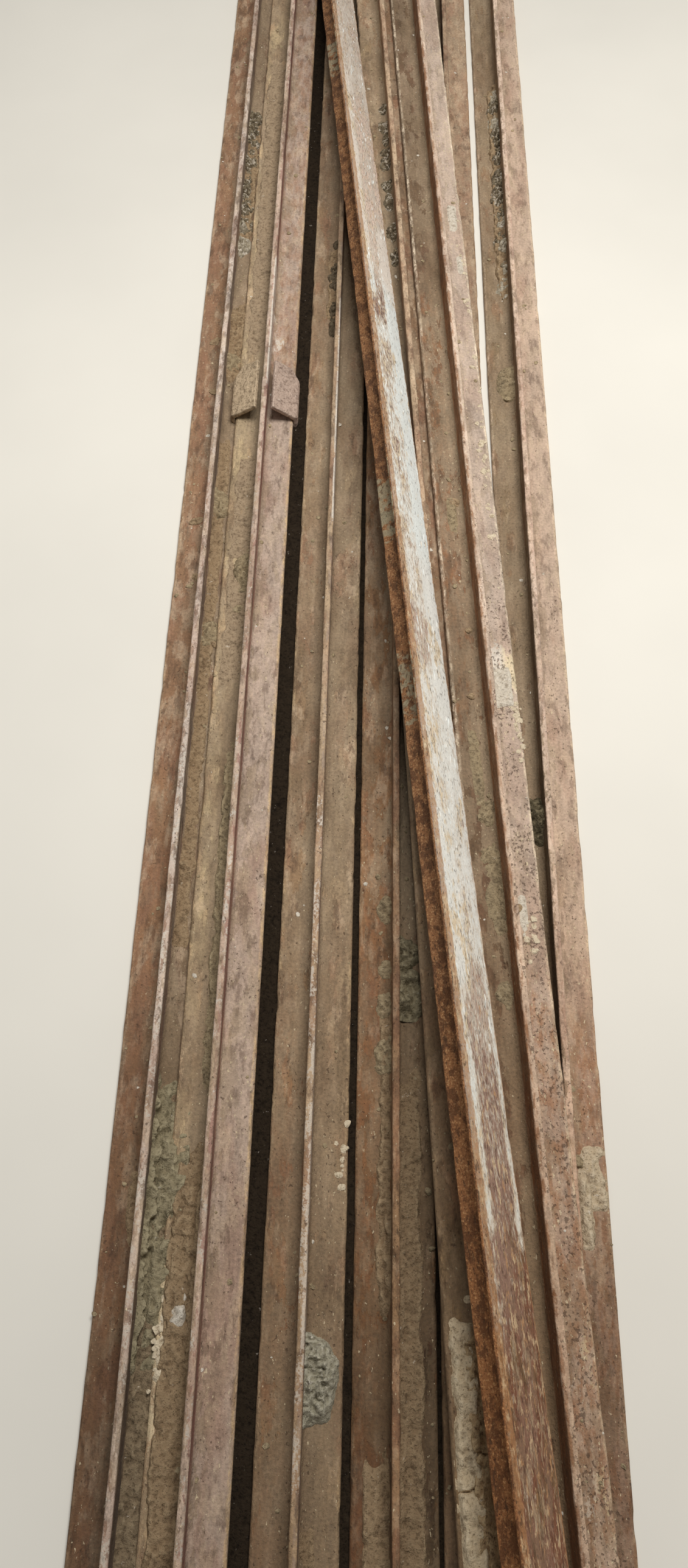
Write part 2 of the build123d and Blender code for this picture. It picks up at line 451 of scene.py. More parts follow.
class Recipe:
    """Adds nodes to one material, step by step."""

    def __init__(self, name):
        self.material = bpy.data.materials.new(name)
        self.material.use_nodes = True
        self.tree = self.material.node_tree
        self.shader = self.tree.nodes["Principled BSDF"]

    def put(self, socket, value):
        if isinstance(value, bpy.types.NodeSocket):
            self.tree.links.new(value, socket)
        elif value is not None:
            socket.default_value = value

    def node(self, kind, inputs, output=0, **settings):
        made = self.tree.nodes.new(kind)
        for key, value in settings.items():
            setattr(made, key, value)
        for key, value in inputs.items():
            self.put(made.inputs[key], value)
        return made.outputs[output]

    def attribute(self, name):
        return self.node("ShaderNodeAttribute", {}, "Vector", attribute_name=name)

    def parts(self, vector):
        made = self.tree.nodes.new("ShaderNodeSeparateXYZ")
        self.put(made.inputs[0], vector)
        return tuple(made.outputs)

    def math(self, operation, first, second=None):
        return self.node("ShaderNodeMath", {0: first, 1: second}, operation=operation)

    def times(self, first, second):
        return self.math("MULTIPLY", first, second)

    def plus(self, first, second):
        return self.math("ADD", first, second)

    def minus(self, first, second):
        return self.math("SUBTRACT", first, second)

    def without(self, value):
        return self.minus(1.0, value)

    def between(self, low, high, share):
        """A value that runs from low to high with the share."""
        return self.plus(self.times(high - low, share), low)

    def step(self, low, high, value):
        """0 below low and 1 above high, or the other way round if high is the smaller."""
        inputs = {"Value": value, "From Min": low, "From Max": high}
        return self.node("ShaderNodeMapRange", inputs, interpolation_type="SMOOTHSTEP")

    def noise(self, vector, size, detail, roughness=0.5):
        inputs = {"Vector": vector, "Scale": 1 / size, "Detail": detail, "Roughness": roughness}
        return self.node("ShaderNodeTexNoise", inputs)

    def follow_bar(self, seed):
        """Reads where a point lies across, along and up its bar, for patches to follow."""
        self.seed = seed
        self.place = self.attribute("place")
        return self.parts(self.place)

    def patches(self, drawn, shift, size_mm, detail=3.0, roughness=0.55):
        """Noise spread out over 0 to 1. drawn is 1 for round patches and less for long ones."""
        start = self.seed + shift
        inputs = {0: self.place, 1: (1, drawn, 1), 2: (start, start * 0.7, start * 1.3)}
        vector = self.node("ShaderNodeVectorMath", inputs, operation="MULTIPLY_ADD")
        value = self.noise(vector, size_mm * MM, detail, roughness)
        return self.node("ShaderNodeMapRange", {"Value": value, "From Min": 0.3, "From Max": 0.7})

    def mix(self, first, second, share, blend_type="MIX"):
        inputs = {MIX_SHARE: share, MIX_FIRST: first, MIX_SECOND: second}
        return self.node("ShaderNodeMix", inputs, MIX_RESULT, data_type="RGBA", blend_type=blend_type)

    def shade(self, colour, value):
        """The colour made lighter or darker by a factor."""
        grey = self.node("ShaderNodeCombineColor", {0: value, 1: value, 2: value})
        return self.mix(colour, grey, 1.0, "MULTIPLY")

    def finish(self, colour, roughness, height_mm=None, specular=0.25):
        """Colour, gloss and a bump whose height is in millimetres."""
        self.put(self.shader.inputs["Base Color"], colour)
        self.put(self.shader.inputs["Roughness"], roughness)
        self.shader.inputs["Specular IOR Level"].default_value = specular
        if height_mm is not None:
            bump = self.node("ShaderNodeBump", {"Height": height_mm, "Distance": MM, "Strength": 1.0})
            self.put(self.shader.inputs["Normal"], bump)
        return self.material


print("steps a recipe knows:", ", ".join(step for step in vars(Recipe) if not step.startswith("_")))

# %% [markdown]
# ## Rusty steel with a history
#
# On the real bars the left and right half of a flange differ, as if they had faced different weather.
# The web's top is paler, partly from wear and partly as a painted highlight, and so are the flange edges,
# and dirt gathers in the corner by the web.
# So the recipe first picks a tone by the place across the section, and then lays the coats over it:
# blotches of rust, a film of mud, flakes of pale paint, and last the pits and specks.

# %% Colours that the rusty bars share
RUST_DARK = tone(84, 64, 50)
RUST_RED = tone(140, 102, 82)
RUST_ORANGE = tone(148, 106, 74)
DUST = tone(188, 167, 141)
MUD_FILM = tone(126, 105, 81)
MUD_GREY = tone(150, 133, 110)
PALE_PAINT = tone(214, 204, 190)
PIT = tone(80, 61, 47)
CREAM = tone(214, 196, 162)
WARM_SHADE_FILTER = (1.0, 0.9, 0.8, 1.0)
# The span along each bar, from its near end, over which the colour is darkened as painted shade.
NEAR_SHADE_SPAN = (0.65, 1.15)
print("the near ends darken from", NEAR_SHADE_SPAN[1], "m along the bars, and are darkest up to", NEAR_SHADE_SPAN[0], "m")

# %% [markdown]
# Several coats use the same noises, and the same masks that tell left from right and web from flange.
# They are made once, and kept on the recipe. The top of the web has a ragged border, moved by the blotches.

# %% Noises and masks that the coats share
WEB_TOP_BORDER = (27.4 * MM, 28.4 * MM)
EDGE_BORDER = (26.2 * MM, 28.8 * MM)


class SteelRecipe(Recipe):
    """A recipe that knows where on the section of its bar a point lies."""

    def __init__(self, name, seed):
        super().__init__(name)
        self.across, self.along, self.up = self.follow_bar(seed)
        self.cloud = self.patches(0.35, 0, 40, 4.0)
        self.blotch = self.patches(0.35, 0, 8, 5.0, 0.65)
        self.speckle = self.patches(1, 0, 2.4, 4.0, 0.7)
        self.from_middle = self.math("ABSOLUTE", self.across)
        self.on_right = self.step(-1 * MM, 1 * MM, self.across)
        self.on_web = self.step(8 * MM, 12 * MM, self.up)
        ragged_up = self.plus(self.up, self.times(self.minus(self.blotch, 0.5), 5 * MM))
        self.on_top = self.step(*WEB_TOP_BORDER, ragged_up)
        near_toe = self.step(*EDGE_BORDER, self.from_middle)
        self.on_edge = self.times(near_toe, self.step(0.5 * MM, 1.5 * MM, self.up))


# The paler web top and edges are partly wear and partly a painted highlight.
print("the worn top of a web is", round((TEE_HEIGHT - WEB_TOP_BORDER[0]) / MM, 1), "mm high")
print("a rubbed edge is", round((HALF_FLANGE - EDGE_BORDER[0]) / MM, 1), "mm wide")

# %% [markdown]
# First the tone of the bare steel. On the web's top and on the edges the paler tone is partly wear and partly
# a painted highlight. It is broken up by noise, because the steel there is chipped and worn and not painted.
# The rust coats come next. Those that the relief needs later are kept on the recipe as well.

# %% The tone of each place, and the rust on it


def bare_tone(r, left, right, web_left, web_right, web_top, edge):
    """The steel's tone by its place; the chipped top and worn edges are paler, partly as painted highlight.
    """
    flange = r.mix(tone(*left), tone(*right), r.on_right)
    web = r.mix(tone(*web_left), tone(*web_right), r.on_right)
    colour = r.mix(flange, web, r.on_web)
    # Painted highlight, partly wear: paler tones on the web's top and on the flange edges.
    chipped_and_highlit = r.step(0.4, 0.5, r.patches(0.35, 9, 5, 5.0, 0.68))
    colour = r.mix(colour, tone(*web_top), r.times(r.on_top, r.between(0.3, 1.0, chipped_and_highlit)))
    rubbed_and_highlit = r.step(0.42, 0.6, r.patches(0.4, 7, 4, 4.0, 0.65))
    return r.mix(colour, tone(*edge), r.times(r.on_edge, r.between(0.25, 1.0, rubbed_and_highlit)))


def rust_coats(r, colour, orange_coat, mottle):
    """Red rust, dust and dark stains all over, and orange rust where its coat lies."""
    red = r.step(0.3, 0.8, r.patches(0.35, 0, 26, 5.0, 0.6))
    r.dust = r.step(0.46, 0.78, r.patches(0.35, 3.1, 12, 6.0, 0.66))
    r.stain = r.step(0.52, 0.82, r.patches(0.35, 5.3, 9, 6.0, 0.7))
    colour = r.mix(colour, RUST_RED, r.times(0.45 * mottle, red))
    colour = r.mix(colour, DUST, r.times(0.45 * mottle, r.dust))
    colour = r.mix(colour, RUST_DARK, r.times(0.55 * mottle, r.stain))
    orange = r.times(orange_coat, r.step(0.3, 0.8, r.patches(0.35, 0, 6, 4.0, 0.65)))
    return r.mix(colour, RUST_ORANGE, r.times(0.8, orange))


for title, colour in (("red rust", RUST_RED), ("orange rust", RUST_ORANGE), ("dust", DUST)):
    print(title, "in Blender:", [round(share, 3) for share in colour[:3]])

# %% [markdown]
# Mud lies where its zone says, and a little in every corner by the web. Paint is there where its zone says.
# Both get a frayed border, because the zone is compared with noise and not used as it is.
# The near ends of the bars are given painted shade, darker and browner than the rest,
# so a filter is laid over that stretch.

# %% Mud, paint and the painted shade at the near end


def mud_and_paint(r, colour, mud_coat, pale_coat):
    corner = r.times(r.without(r.step(4 * MM, 20 * MM, r.from_middle)), r.without(r.on_web))
    mud_share = r.plus(mud_coat, r.times(corner, 0.4))
    threshold = r.minus(r.patches(0.35, 0, 17, 6.0, 0.68), r.times(mud_share, 0.5))
    r.film = r.times(r.step(0.36, 0.27, threshold), r.between(0.25, 0.9, mud_share))
    colour = r.mix(colour, r.mix(MUD_FILM, MUD_GREY, r.cloud), r.film)
    paint_edge = r.plus(r.times(r.blotch, 0.6), r.times(r.speckle, 0.4))
    r.painted = r.step(0.0, 0.16, r.minus(r.between(-0.3, 0.85, pale_coat), paint_edge))
    pale = r.mix(PALE_PAINT, CREAM, r.step(16 * MM, 24 * MM, r.from_middle))
    return r.mix(colour, pale, r.times(r.painted, 0.85))


def light_and_dark(r, colour, near, warm):
    """Uneven lightness, and painted shade at the near end: near sets how dark, and warm how brown."""
    streak = r.patches(0.05, 4, 3, 3.0)
    light = r.plus(r.times(r.cloud, 0.26), r.plus(r.times(r.blotch, 0.3), r.times(r.speckle, 0.5)))
    light = r.plus(0.46, r.plus(light, r.times(streak, 0.16)))
    # Painted shade: the near end of the bar is darkened, the web's top less, and made browner through a warm
    # filter.
    near_shade_here = r.plus(near, r.times(r.on_top, max(0.0, 0.8 - near)))
    painted_near_shade = r.plus(near_shade_here, r.times(r.without(near_shade_here), r.step(*NEAR_SHADE_SPAN, r.along)))
    colour = r.shade(colour, r.times(light, painted_near_shade))
    return r.mix(colour, WARM_SHADE_FILTER, r.times(warm, r.step(1.3, 0.75, r.along)), "MULTIPLY")


for title, colour in (("mud", MUD_FILM), ("pale paint", PALE_PAINT), ("cream paint", CREAM)):
    print(title, "in Blender:", [round(share, 3) for share in colour[:3]])

# %% [markdown]
# Pits gather in clumps, so a fine noise and a broad one are added before they are cut off at one level.
# The relief is a bump in millimetres: paint, dust and mud stand up, and pits and stains lie low.
# The larger swellings are real geometry, made above.

# %% Pits, flecks and relief


def pits_and_flecks(r, colour, pits, flecks):
    """Dark pits, with a share for the left and one for the right, and cream flecks, mostly on the right."""
    clump = r.patches(0.55, 3, 13, 3.0, 0.6)
    pit_share = r.times(r.between(pits[0], pits[1], r.on_right), r.step(1.6, 1.3, r.along))
    pit_field = r.plus(r.patches(0.8, 2, 2.6, 4.0, 0.6), r.plus(pit_share, r.times(clump, 0.32)))
    r.hole = r.step(1.14, 1.22, pit_field)
    colour = r.mix(colour, PIT, r.times(r.hole, 0.66))
    fleck_field = r.plus(r.patches(0.5, 8, 2.2, 3.0, 0.6), r.times(flecks, r.on_right))
    r.fleck = r.step(1.0, 1.1, r.plus(fleck_field, r.times(r.cloud, 0.16)))
    return r.mix(colour, CREAM, r.times(r.fleck, 0.75))


def steel_relief(r):
    height = r.plus(r.times(r.speckle, 0.42), r.times(r.blotch, 0.2))
    height = r.plus(height, r.times(r.plus(r.painted, r.fleck), 0.14))
    height = r.minus(height, r.plus(r.times(r.hole, 0.35), r.times(r.stain, 0.12)))
    return r.plus(height, r.plus(r.times(r.film, r.between(0.2, 0.6, r.blotch)), r.times(r.dust, 0.12)))


# near and warm set the painted shade at the near end of the bar.
def steel_finish(name, seed, pits=(0.07, 0.08), flecks=0.02, near=0.85, mottle=1.0, warm=1.0, **tones):
    """All the coats of a rusty bar, from the bare steel outwards."""
    r = SteelRecipe(name, seed)
    pale_coat, mud_coat, orange_coat = r.parts(r.attribute("coat"))
    colour = rust_coats(r, bare_tone(r, **tones), orange_coat, mottle)
    colour = mud_and_paint(r, colour, mud_coat, pale_coat)
    colour = pits_and_flecks(r, light_and_dark(r, colour, near, warm), pits, flecks)
    return r.finish(colour, r.between(0.72, 0.95, r.speckle), steel_relief(r))


print("coats of a rusty bar, from the steel outwards: tone, rust, mud, paint, shade, pits and flecks")

# %% [markdown]
# ## The tones of the eight rusty bars
#
# The tones were matched bar by bar: brown with a pinkish cast where old primer shows,
# olive where mud has dried on, and cream on the edges, partly as a painted highlight. Some darker tones are
# partly painted shade, and near and warm set the painted shade at each near end. One recipe with eight sets
# of tones is shorter than eight materials, and a change to the recipe reaches every bar.

# %% Give each bar its tones
TONES = {
    "lower_bar_1": dict(
        left=(138, 107, 81), right=(118, 99, 78), web_left=(146, 118, 96),
        web_right=(126, 111, 98), web_top=(200, 184, 170), edge=(172, 142, 112), near=0.5, warm=0.4,
    ),
    "lower_bar_2": dict(
        left=(176, 155, 122), right=(176, 156, 140), web_left=(150, 130, 104),
        web_right=(152, 112, 102), web_top=(192, 170, 152), edge=(206, 178, 140),
        pits=(0.08, 0.07), flecks=0.04, mottle=0.9, warm=0.3,
    ),
    "lower_bar_3": dict(
        left=(140, 115, 88), right=(156, 135, 108), web_left=(138, 116, 90),
        web_right=(150, 132, 118), web_top=(172, 148, 120), edge=(182, 158, 124), pits=(0.09, 0.1),
        near=0.7, warm=0.6,
    ),
    "lower_bar_4": dict(
        # The right flange and right web face are darker, partly from mud and partly as painted shade.
        left=(132, 102, 74), right=(110, 93, 72), web_left=(122, 98, 74),
        web_right=(98, 82, 64), web_top=(150, 124, 96), edge=(160, 128, 94), near=0.5,
    ),
    "lower_bar_5": dict(
        left=(120, 98, 78), right=(160, 138, 114), web_left=(114, 92, 72),
        web_right=(132, 110, 90), web_top=(152, 128, 104), edge=(168, 142, 112),
    ),
    "lower_bar_6": dict(
        left=(136, 115, 88), right=(184, 161, 141), web_left=(130, 110, 86),
        web_right=(190, 160, 140), web_top=(206, 182, 162), edge=(208, 184, 156),
        pits=(0.07, 0.13), flecks=0.05, near=0.58, mottle=0.8,
    ),
    "upper_bar_1": dict(
        left=(146, 125, 97), right=(124, 98, 74), web_left=(134, 112, 87),
        web_right=(114, 90, 70), web_top=(182, 158, 130), edge=(172, 148, 116), flecks=0.02, near=0.7,
    ),
    "upper_bar_2": dict(
        # The left flange is darker, partly its own brown and partly painted shade.
        left=(104, 84, 64), right=(182, 163, 147), web_left=(124, 90, 64),
        web_right=(190, 168, 150), web_top=(204, 182, 162), edge=(226, 208, 182),
        pits=(0.04, 0.26), flecks=0.1, near=0.8, mottle=0.55,
    ),
}
for number, name in enumerate(sorted(TONES)):
    finish = steel_finish(name + "_finish", 0.37 * number + 1, **TONES[name])
    skins[name].data.materials.append(finish)
print("steel finishes:", len(TONES))

# %% [markdown]
# ## Paint that flakes along the bar
#
# The crossing bar shows the flat underside of its flange, with the last of a white paint on it.
# Paint on rolled steel lifts in long slivers, so the noise behind the flakes is drawn out along the bar.
# Where paint has gone there are tan fibres and pink-brown rust.
# The inner side never had paint and is covered in orange granular rust.

# %% Colours of the crossing bar
PAINT_WHITE = tone(226, 229, 224)
PAINT_CREAM = tone(226, 214, 200)
PAINT_WORN = tone(212, 200, 184)
FIBRE = tone(216, 194, 160)
FIBRE_DARK = tone(190, 150, 110)
PINK_RUST = tone(152, 124, 110)
PINK_PRIMER = tone(222, 198, 180)
RED_RUST = tone(128, 86, 64)
OLIVE_RUST = tone(118, 94, 66)
SMEAR_TAN = tone(178, 162, 138)
EDGE_RUST = tone(172, 130, 92)
GRANULAR = tone(172, 122, 82)
GRANULAR_DARK = tone(86, 56, 40)
GRANULAR_LIGHT = tone(214, 168, 120)
OLD_CEMENT = tone(190, 181, 150)
print("white paint in Blender:", [round(share, 3) for share in PAINT_WHITE[:3]])

# %% [markdown]
# Under the paint the flat is pink-brown, and redder and more olive toward the near end.
# Tan fibres run along it, which are the last of the paint's ground coat. They come from three noises
# added up, because a single drawn-out noise gives stripes that are too even.

# %% The bare flat under the paint


def flat_rust(r, brown, ground):
    """Rust with fibres on the flat. brown and ground are coats: red-brown rust and pink ground coat."""
    warm = r.step(0.35, 0.65, r.patches(0.3, 8, 18, 4.0, 0.6))
    cool = r.step(0.4, 0.7, r.patches(0.4, 11, 13, 5.0, 0.68))
    bare = r.mix(PINK_RUST, PINK_PRIMER, ground)
    bare = r.mix(bare, r.mix(RED_RUST, OLIVE_RUST, cool), r.times(brown, r.between(0.5, 1.0, warm)))
    long_strands = r.patches(0.26, 9, 5, 6.0, 0.7)
    blots = r.patches(0.6, 17, 5, 6.0, 0.7)
    r.strand_mix = r.plus(r.times(r.strands, 0.16), r.plus(r.times(long_strands, 0.42), r.times(blots, 0.42)))
    bundles = r.between(0.05, -0.08, r.patches(0.35, 12, 10, 4.0, 0.6))
    fibre = r.mix(FIBRE, FIBRE_DARK, r.step(0.3, 0.7, cool))
    bare = r.mix(bare, fibre, r.times(0.8, r.step(0.51, 0.64, r.plus(r.strand_mix, bundles))))
    smear = r.step(0.6, 0.74, r.patches(0.32, 14, 9, 6.0, 0.72))
    bare = r.mix(bare, SMEAR_TAN, r.times(r.times(brown, 0.6), smear))
    dark = r.step(0.58, 0.76, r.patches(0.45, 6, 4, 6.0, 0.7))
    return r.mix(bare, GRANULAR_DARK, r.times(r.between(0.65, 0.25, ground), dark))


for title, colour in (("fibres", FIBRE), ("pink rust", PINK_RUST), ("red rust", RED_RUST)):
    print(title, "in Blender:", [round(share, 3) for share in colour[:3]])

# %% [markdown]
# Paint wears away in steps: it is white where it is whole, duller where it is thin, and then gone.
# One value, `level`, says how much is left, and three cuts through it make the three kinds.
# On the inner side dark and light grains of rust gather in clusters, with a little old cement between.

# %% What is left of the paint, and the rust on the inner side


def paint_over(r, bare, coverage, ground):
    level = r.plus(r.times(r.flakes, 0.66), r.times(r.broad, 0.34))
    level = r.minus(r.between(-0.05, 1.08, coverage), level)
    r.painted = r.step(0.0, 0.07, level)
    r.thin = r.step(-0.2, 0.0, level)
    colour = r.mix(bare, PAINT_WORN, r.times(r.thin, 0.6))
    fresh = r.mix(PAINT_WHITE, PAINT_CREAM, ground)
    colour = r.mix(colour, r.mix(PAINT_WORN, fresh, r.step(0.0, 0.4, level)), r.painted)
    toward_high = r.step(-16 * MM, 14 * MM, r.across)
    torn = r.plus(r.times(r.strand_mix, 0.6), r.plus(r.times(r.broad, 0.4), r.times(toward_high, 0.07)))
    return r.mix(colour, FIBRE, r.times(0.85, r.times(r.painted, r.step(0.57, 0.72, torn))))


def granular_rust(r, cement_coat):
    clusters = r.step(0.4, 0.64, r.patches(0.6, 5, 8, 6.0, 0.72))
    grit = r.patches(1, 0, 1.6, 3.0, 0.65)
    colour = r.mix(GRANULAR, GRANULAR_DARK, r.times(clusters, r.between(0.45, 0.9, grit)))
    colour = r.mix(colour, GRANULAR_LIGHT, r.times(r.between(1.0, 0.3, clusters), r.step(0.6, 0.85, grit)))
    colour = r.mix(colour, GRANULAR_DARK, r.times(0.8, r.step(0.26, 0.12, grit)))
    crumbs = r.times(0.5, r.patches(1, 0, 11, 5.0, 0.6))
    cement = r.step(0.5, 0.62, r.plus(r.times(cement_coat, 0.45), crumbs))
    return r.mix(colour, OLD_CEMENT, r.times(cement, r.between(0.5, 0.9, r.speckle)))


for title, colour in (("worn paint", PAINT_WORN), ("granular rust", GRANULAR), ("old cement", OLD_CEMENT)):
    print(title, "in Blender:", [round(share, 3) for share in colour[:3]])

# %% [markdown]
# On this bar the mud coat stands for red-brown rust, and the orange coat for pink ground coat on the flat
# and old cement on the inner side. That saves attributes, and no face needs both meanings.
# Along both long edges the paint ends in a ragged rusty rim.

# %% The whole finish of the crossing bar


def flaking_finish(name, seed):
    r = Recipe(name)
    r.across, along, up = r.follow_bar(seed)
    coverage, brown, ground_or_cement = r.parts(r.attribute("coat"))
    r.broad = r.patches(0.35, 1, 16, 3.0)
    r.flakes = r.patches(0.36, 0, 3.0, 5.0, 0.66)
    r.strands = r.patches(0.25, 3, 1.6, 3.0, 0.6)
    r.speckle = r.patches(1, 0, 1.8, 4.0, 0.65)
    colour = paint_over(r, flat_rust(r, brown, ground_or_cement), coverage, ground_or_cement)
    inside = r.step(1.5 * MM, 3.2 * MM, up)
    colour = r.mix(colour, granular_rust(r, ground_or_cement), inside)

    ragged = r.times(r.minus(r.flakes, 0.5), 4 * MM)
    high_rim = r.step(25.6 * MM, 27.2 * MM, r.plus(r.across, ragged))
    low_rim = r.step(-28.4 * MM, -29.6 * MM, r.plus(r.across, ragged))
    rim_colour = r.mix(EDGE_RUST, FIBRE, r.step(0.5, 0.8, r.strand_mix))
    on_rim = r.times(r.plus(high_rim, low_rim), r.without(inside))
    colour = r.mix(colour, rim_colour, r.times(on_rim, r.between(0.6, 1.0, r.speckle)))

    # Painted shade: the near end of the crossing bar is made darker and browner.
    painted_near_shade = r.between(0.88, 1.0, r.step(*NEAR_SHADE_SPAN, along))
    colour = r.shade(colour, r.times(painted_near_shade, r.between(0.86, 1.1, r.speckle)))
    colour = r.mix(colour, WARM_SHADE_FILTER, r.step(1.15, 0.75, along), "MULTIPLY")
    nick_field = r.plus(r.patches(0.3, 2, 1.7, 3.0, 0.55), r.times(r.broad, 0.22))
    nick = r.step(0.9, 1.0, nick_field)
    colour = r.mix(colour, PIT, r.times(nick, 0.6))

    film = r.times(r.plus(r.painted, r.times(r.thin, 0.4)), r.without(inside))
    height = r.plus(r.times(film, 0.35), r.times(r.strands, r.times(0.3, r.without(r.painted))))
    height = r.plus(height, r.times(r.speckle, r.between(0.12, 0.6, inside)))
    return r.finish(colour, r.between(0.9, 0.62, r.painted), r.minus(height, r.times(nick, 0.3)))


flaking = flaking_finish("crossing_bar_finish", 4.2)
skins["crossing_bar"].data.materials.append(flaking)
print("nodes in the flaking finish:", len(flaking.node_tree.nodes))

# %% [markdown]
# ## Mud and cement, dried in layers
#
# Mud and cement that fell between the bars dried there as lumpy crusts, mostly in the corner by the web.
# A crust is a sheet of points laid over that corner: in from the flange, round the root and up the web.
# First we need to find places on a bar, and the path over the corner with the way to push each point.

# %% Find places on a bar


def to_world(node, local):
    """Points given across, along and up a bar, in the shared frame."""
    place = places[node]
    across, along, up = local.T
    points = place["near"] + np.outer(along, place["along"])
    return points + np.outer(across, place["sideways"]) + np.outer(up, place["up"])


def along_at(node, row_y):
    """How far along the bar a place at row_y lies."""
    return (row_y - places[node]["near"][1]) / places[node]["along"][1]


def surface_up(across):
    """Height of the rolled surface over the underside, on the flange or in the root."""
    from_corner = np.clip(np.abs(across) - HALF_WEB, 0, ROOT_RADIUS)
    rise = ROOT_RADIUS - np.sqrt(ROOT_RADIUS**2 - (ROOT_RADIUS - from_corner) ** 2)
    return THICKNESS + rise


def corner_path(side, inner, outer, up_to, spacing):
    """Points from the flange to the web and the way to push each. inner above 0 stays on the flange."""
    root = HALF_WEB + ROOT_RADIUS
    low = THICKNESS + ROOT_RADIUS
    start = HALF_WEB + outer
    if inner > 0:
        steps = math.ceil((outer - inner) / spacing)
        path = straight((start, THICKNESS), (HALF_WEB + inner, THICKNESS), steps)
        push = np.tile([0.0, 1.0], (len(path), 1))
    else:
        flat = straight((start, THICKNESS), (root, THICKNESS), max(2, math.ceil((start - root) / spacing)))
        bend = arc((root, low), ROOT_RADIUS, 270, 180, 6)
        wall = straight((HALF_WEB, low), (HALF_WEB, up_to), max(2, math.ceil((up_to - low) / spacing)))
        path = np.vstack([flat, bend, wall])
        turn = np.concatenate([np.zeros(len(flat)), np.linspace(0, 1, len(bend)), np.ones(len(wall))])
        push = np.column_stack([turn, 1 - turn]) + 0.8
    push = push / np.linalg.norm(push, axis=1)[:, None]
    return path * (side, 1), push * (side, 1)


print("points over one corner:", len(corner_path(1, 0, 20 * MM, 13 * MM, 1.3 * MM)[0]))

# %% [markdown]
# Next come the things that shape a crust. Its body says how full it is: 1 in the middle, 0 at the rim.
# A blob has a round body and a long crust a ragged one. Both get lumps, and a thick slab gets cracks,
# which run where two cells of dried mud meet.

# %% Bodies, lumps and cracks


def blob_body(local, run, inner, outer, lump, spacing, from_rim, from_end, seed):
    """Full in the middle of a blob. run goes from -1 at its near end to 1 at its far end."""
    middle = 0 if inner == 0 else (inner + outer) / 2
    out = (np.abs(local[:, 0]) - HALF_WEB - middle) / (outer - middle)
    reach = np.sqrt(out**2 + run**2)
    reach += 0.3 * grain(local, 1.4 * lump, seed + 3) + 0.17 * grain(local, 0.6 * lump, seed + 7)
    body = np.sqrt(np.clip(1 - reach, 0, 1)) * smooth_step(0, 4 * spacing, from_rim)
    return body * smooth_step(0, 5 * spacing, from_end)


def ragged_body(local, length, lump, spacing, from_rim, from_end, seed):
    """Full except at a wandering rim. The second result makes the ends of the crust thinner."""
    ragged = min(2.2 * lump, 0.1 * length)
    wander = grain(local, (9 * MM, 14 * MM, 9 * MM), seed + 3) + 0.5 * grain(local, 5 * MM, seed + 10)
    worn_rim = from_rim - 2.8 * MM * (1 + wander)
    painted_near_shade = from_end - ragged * (1 + 0.6 * grain(local, 1.6 * lump, seed + 4))
    painted_near_shade -= 0.6 * ragged * grain(local, 0.6 * lump, seed + 8)
    body = smooth_step(-1 * MM, 3 * MM, worn_rim) * smooth_step(0, 0.7 * ragged, painted_near_shade)
    body *= smooth_step(0, 1.8 * spacing, from_rim)
    return body, 0.3 + 0.7 * smooth_step(0, 4 * lump, painted_near_shade)


def crust_lumps(local, lump, seed):
    lumps = 0.35 + 0.3 * smooth_step(-0.2, 0.15, grain(local, lump, seed))
    broken = 0.26 * smooth_step(-0.15, 0.2, grain(local, 0.6 * lump, seed + 5))
    lumps += broken + 0.3 * grain(local, lump, seed + 6)
    lumps += 0.24 * grain(local, 0.4 * lump, seed + 1) + 0.12 * grain(local, 0.2 * lump, seed + 9)
    return lumps


def crack_mask(flat, count, seed):
    """1 along the borders between random cells, as in mud that shrank while it dried."""
    random = np.random.default_rng(seed)
    low, high = flat.min(0), flat.max(0)
    middles = low + random.random((count, 2)) * (high - low)
    points = np.column_stack([flat, flat[:, :1]])
    waver = [grain(points, 6 * MM, seed + 5), grain(points, 6 * MM, seed + 6)]
    warped = flat + 2 * MM * np.column_stack(waver)
    distance = np.sort(np.linalg.norm(warped[:, None] - middles, axis=2), axis=1)
    return 1 - smooth_step(0.4 * MM, 1.5 * MM, distance[:, 1] - distance[:, 0])


sample = crust_lumps(sample_places, 9 * MM, 1)
print("lumps run from", round(sample.min(), 2), "to", round(sample.max(), 2))

# %% [markdown]
# Now the crust itself. Each point is pushed out by a thickness that is nothing at the rim.
# Where the thickness falls below zero the sheet is under the steel, so those faces are left out
# and the rim comes out as ragged as a real one. Sculpting could do the same, but not by the metre.

# %% Drape a crust over the corner of a bar
DEEPEST = 0.3 * MM
JUST_UNDER = 0.05 * MM


def piece_of_sheet(name, node, local, quads, kept, side, finish):
    """A piece from the kept quads of a sheet of points, facing outwards on either side of the web."""
    quads = quads[kept]
    quads = quads if side < 0 else quads[:, ::-1]
    used, numbers = np.unique(quads, return_inverse=True)
    piece = new_piece(name, to_world(node, local[used]), numbers.reshape(-1, 4).tolist(), 60)
    store_vectors(piece.data, "place", local[used])
    piece.data.materials.append(finish)
    return len(quads)


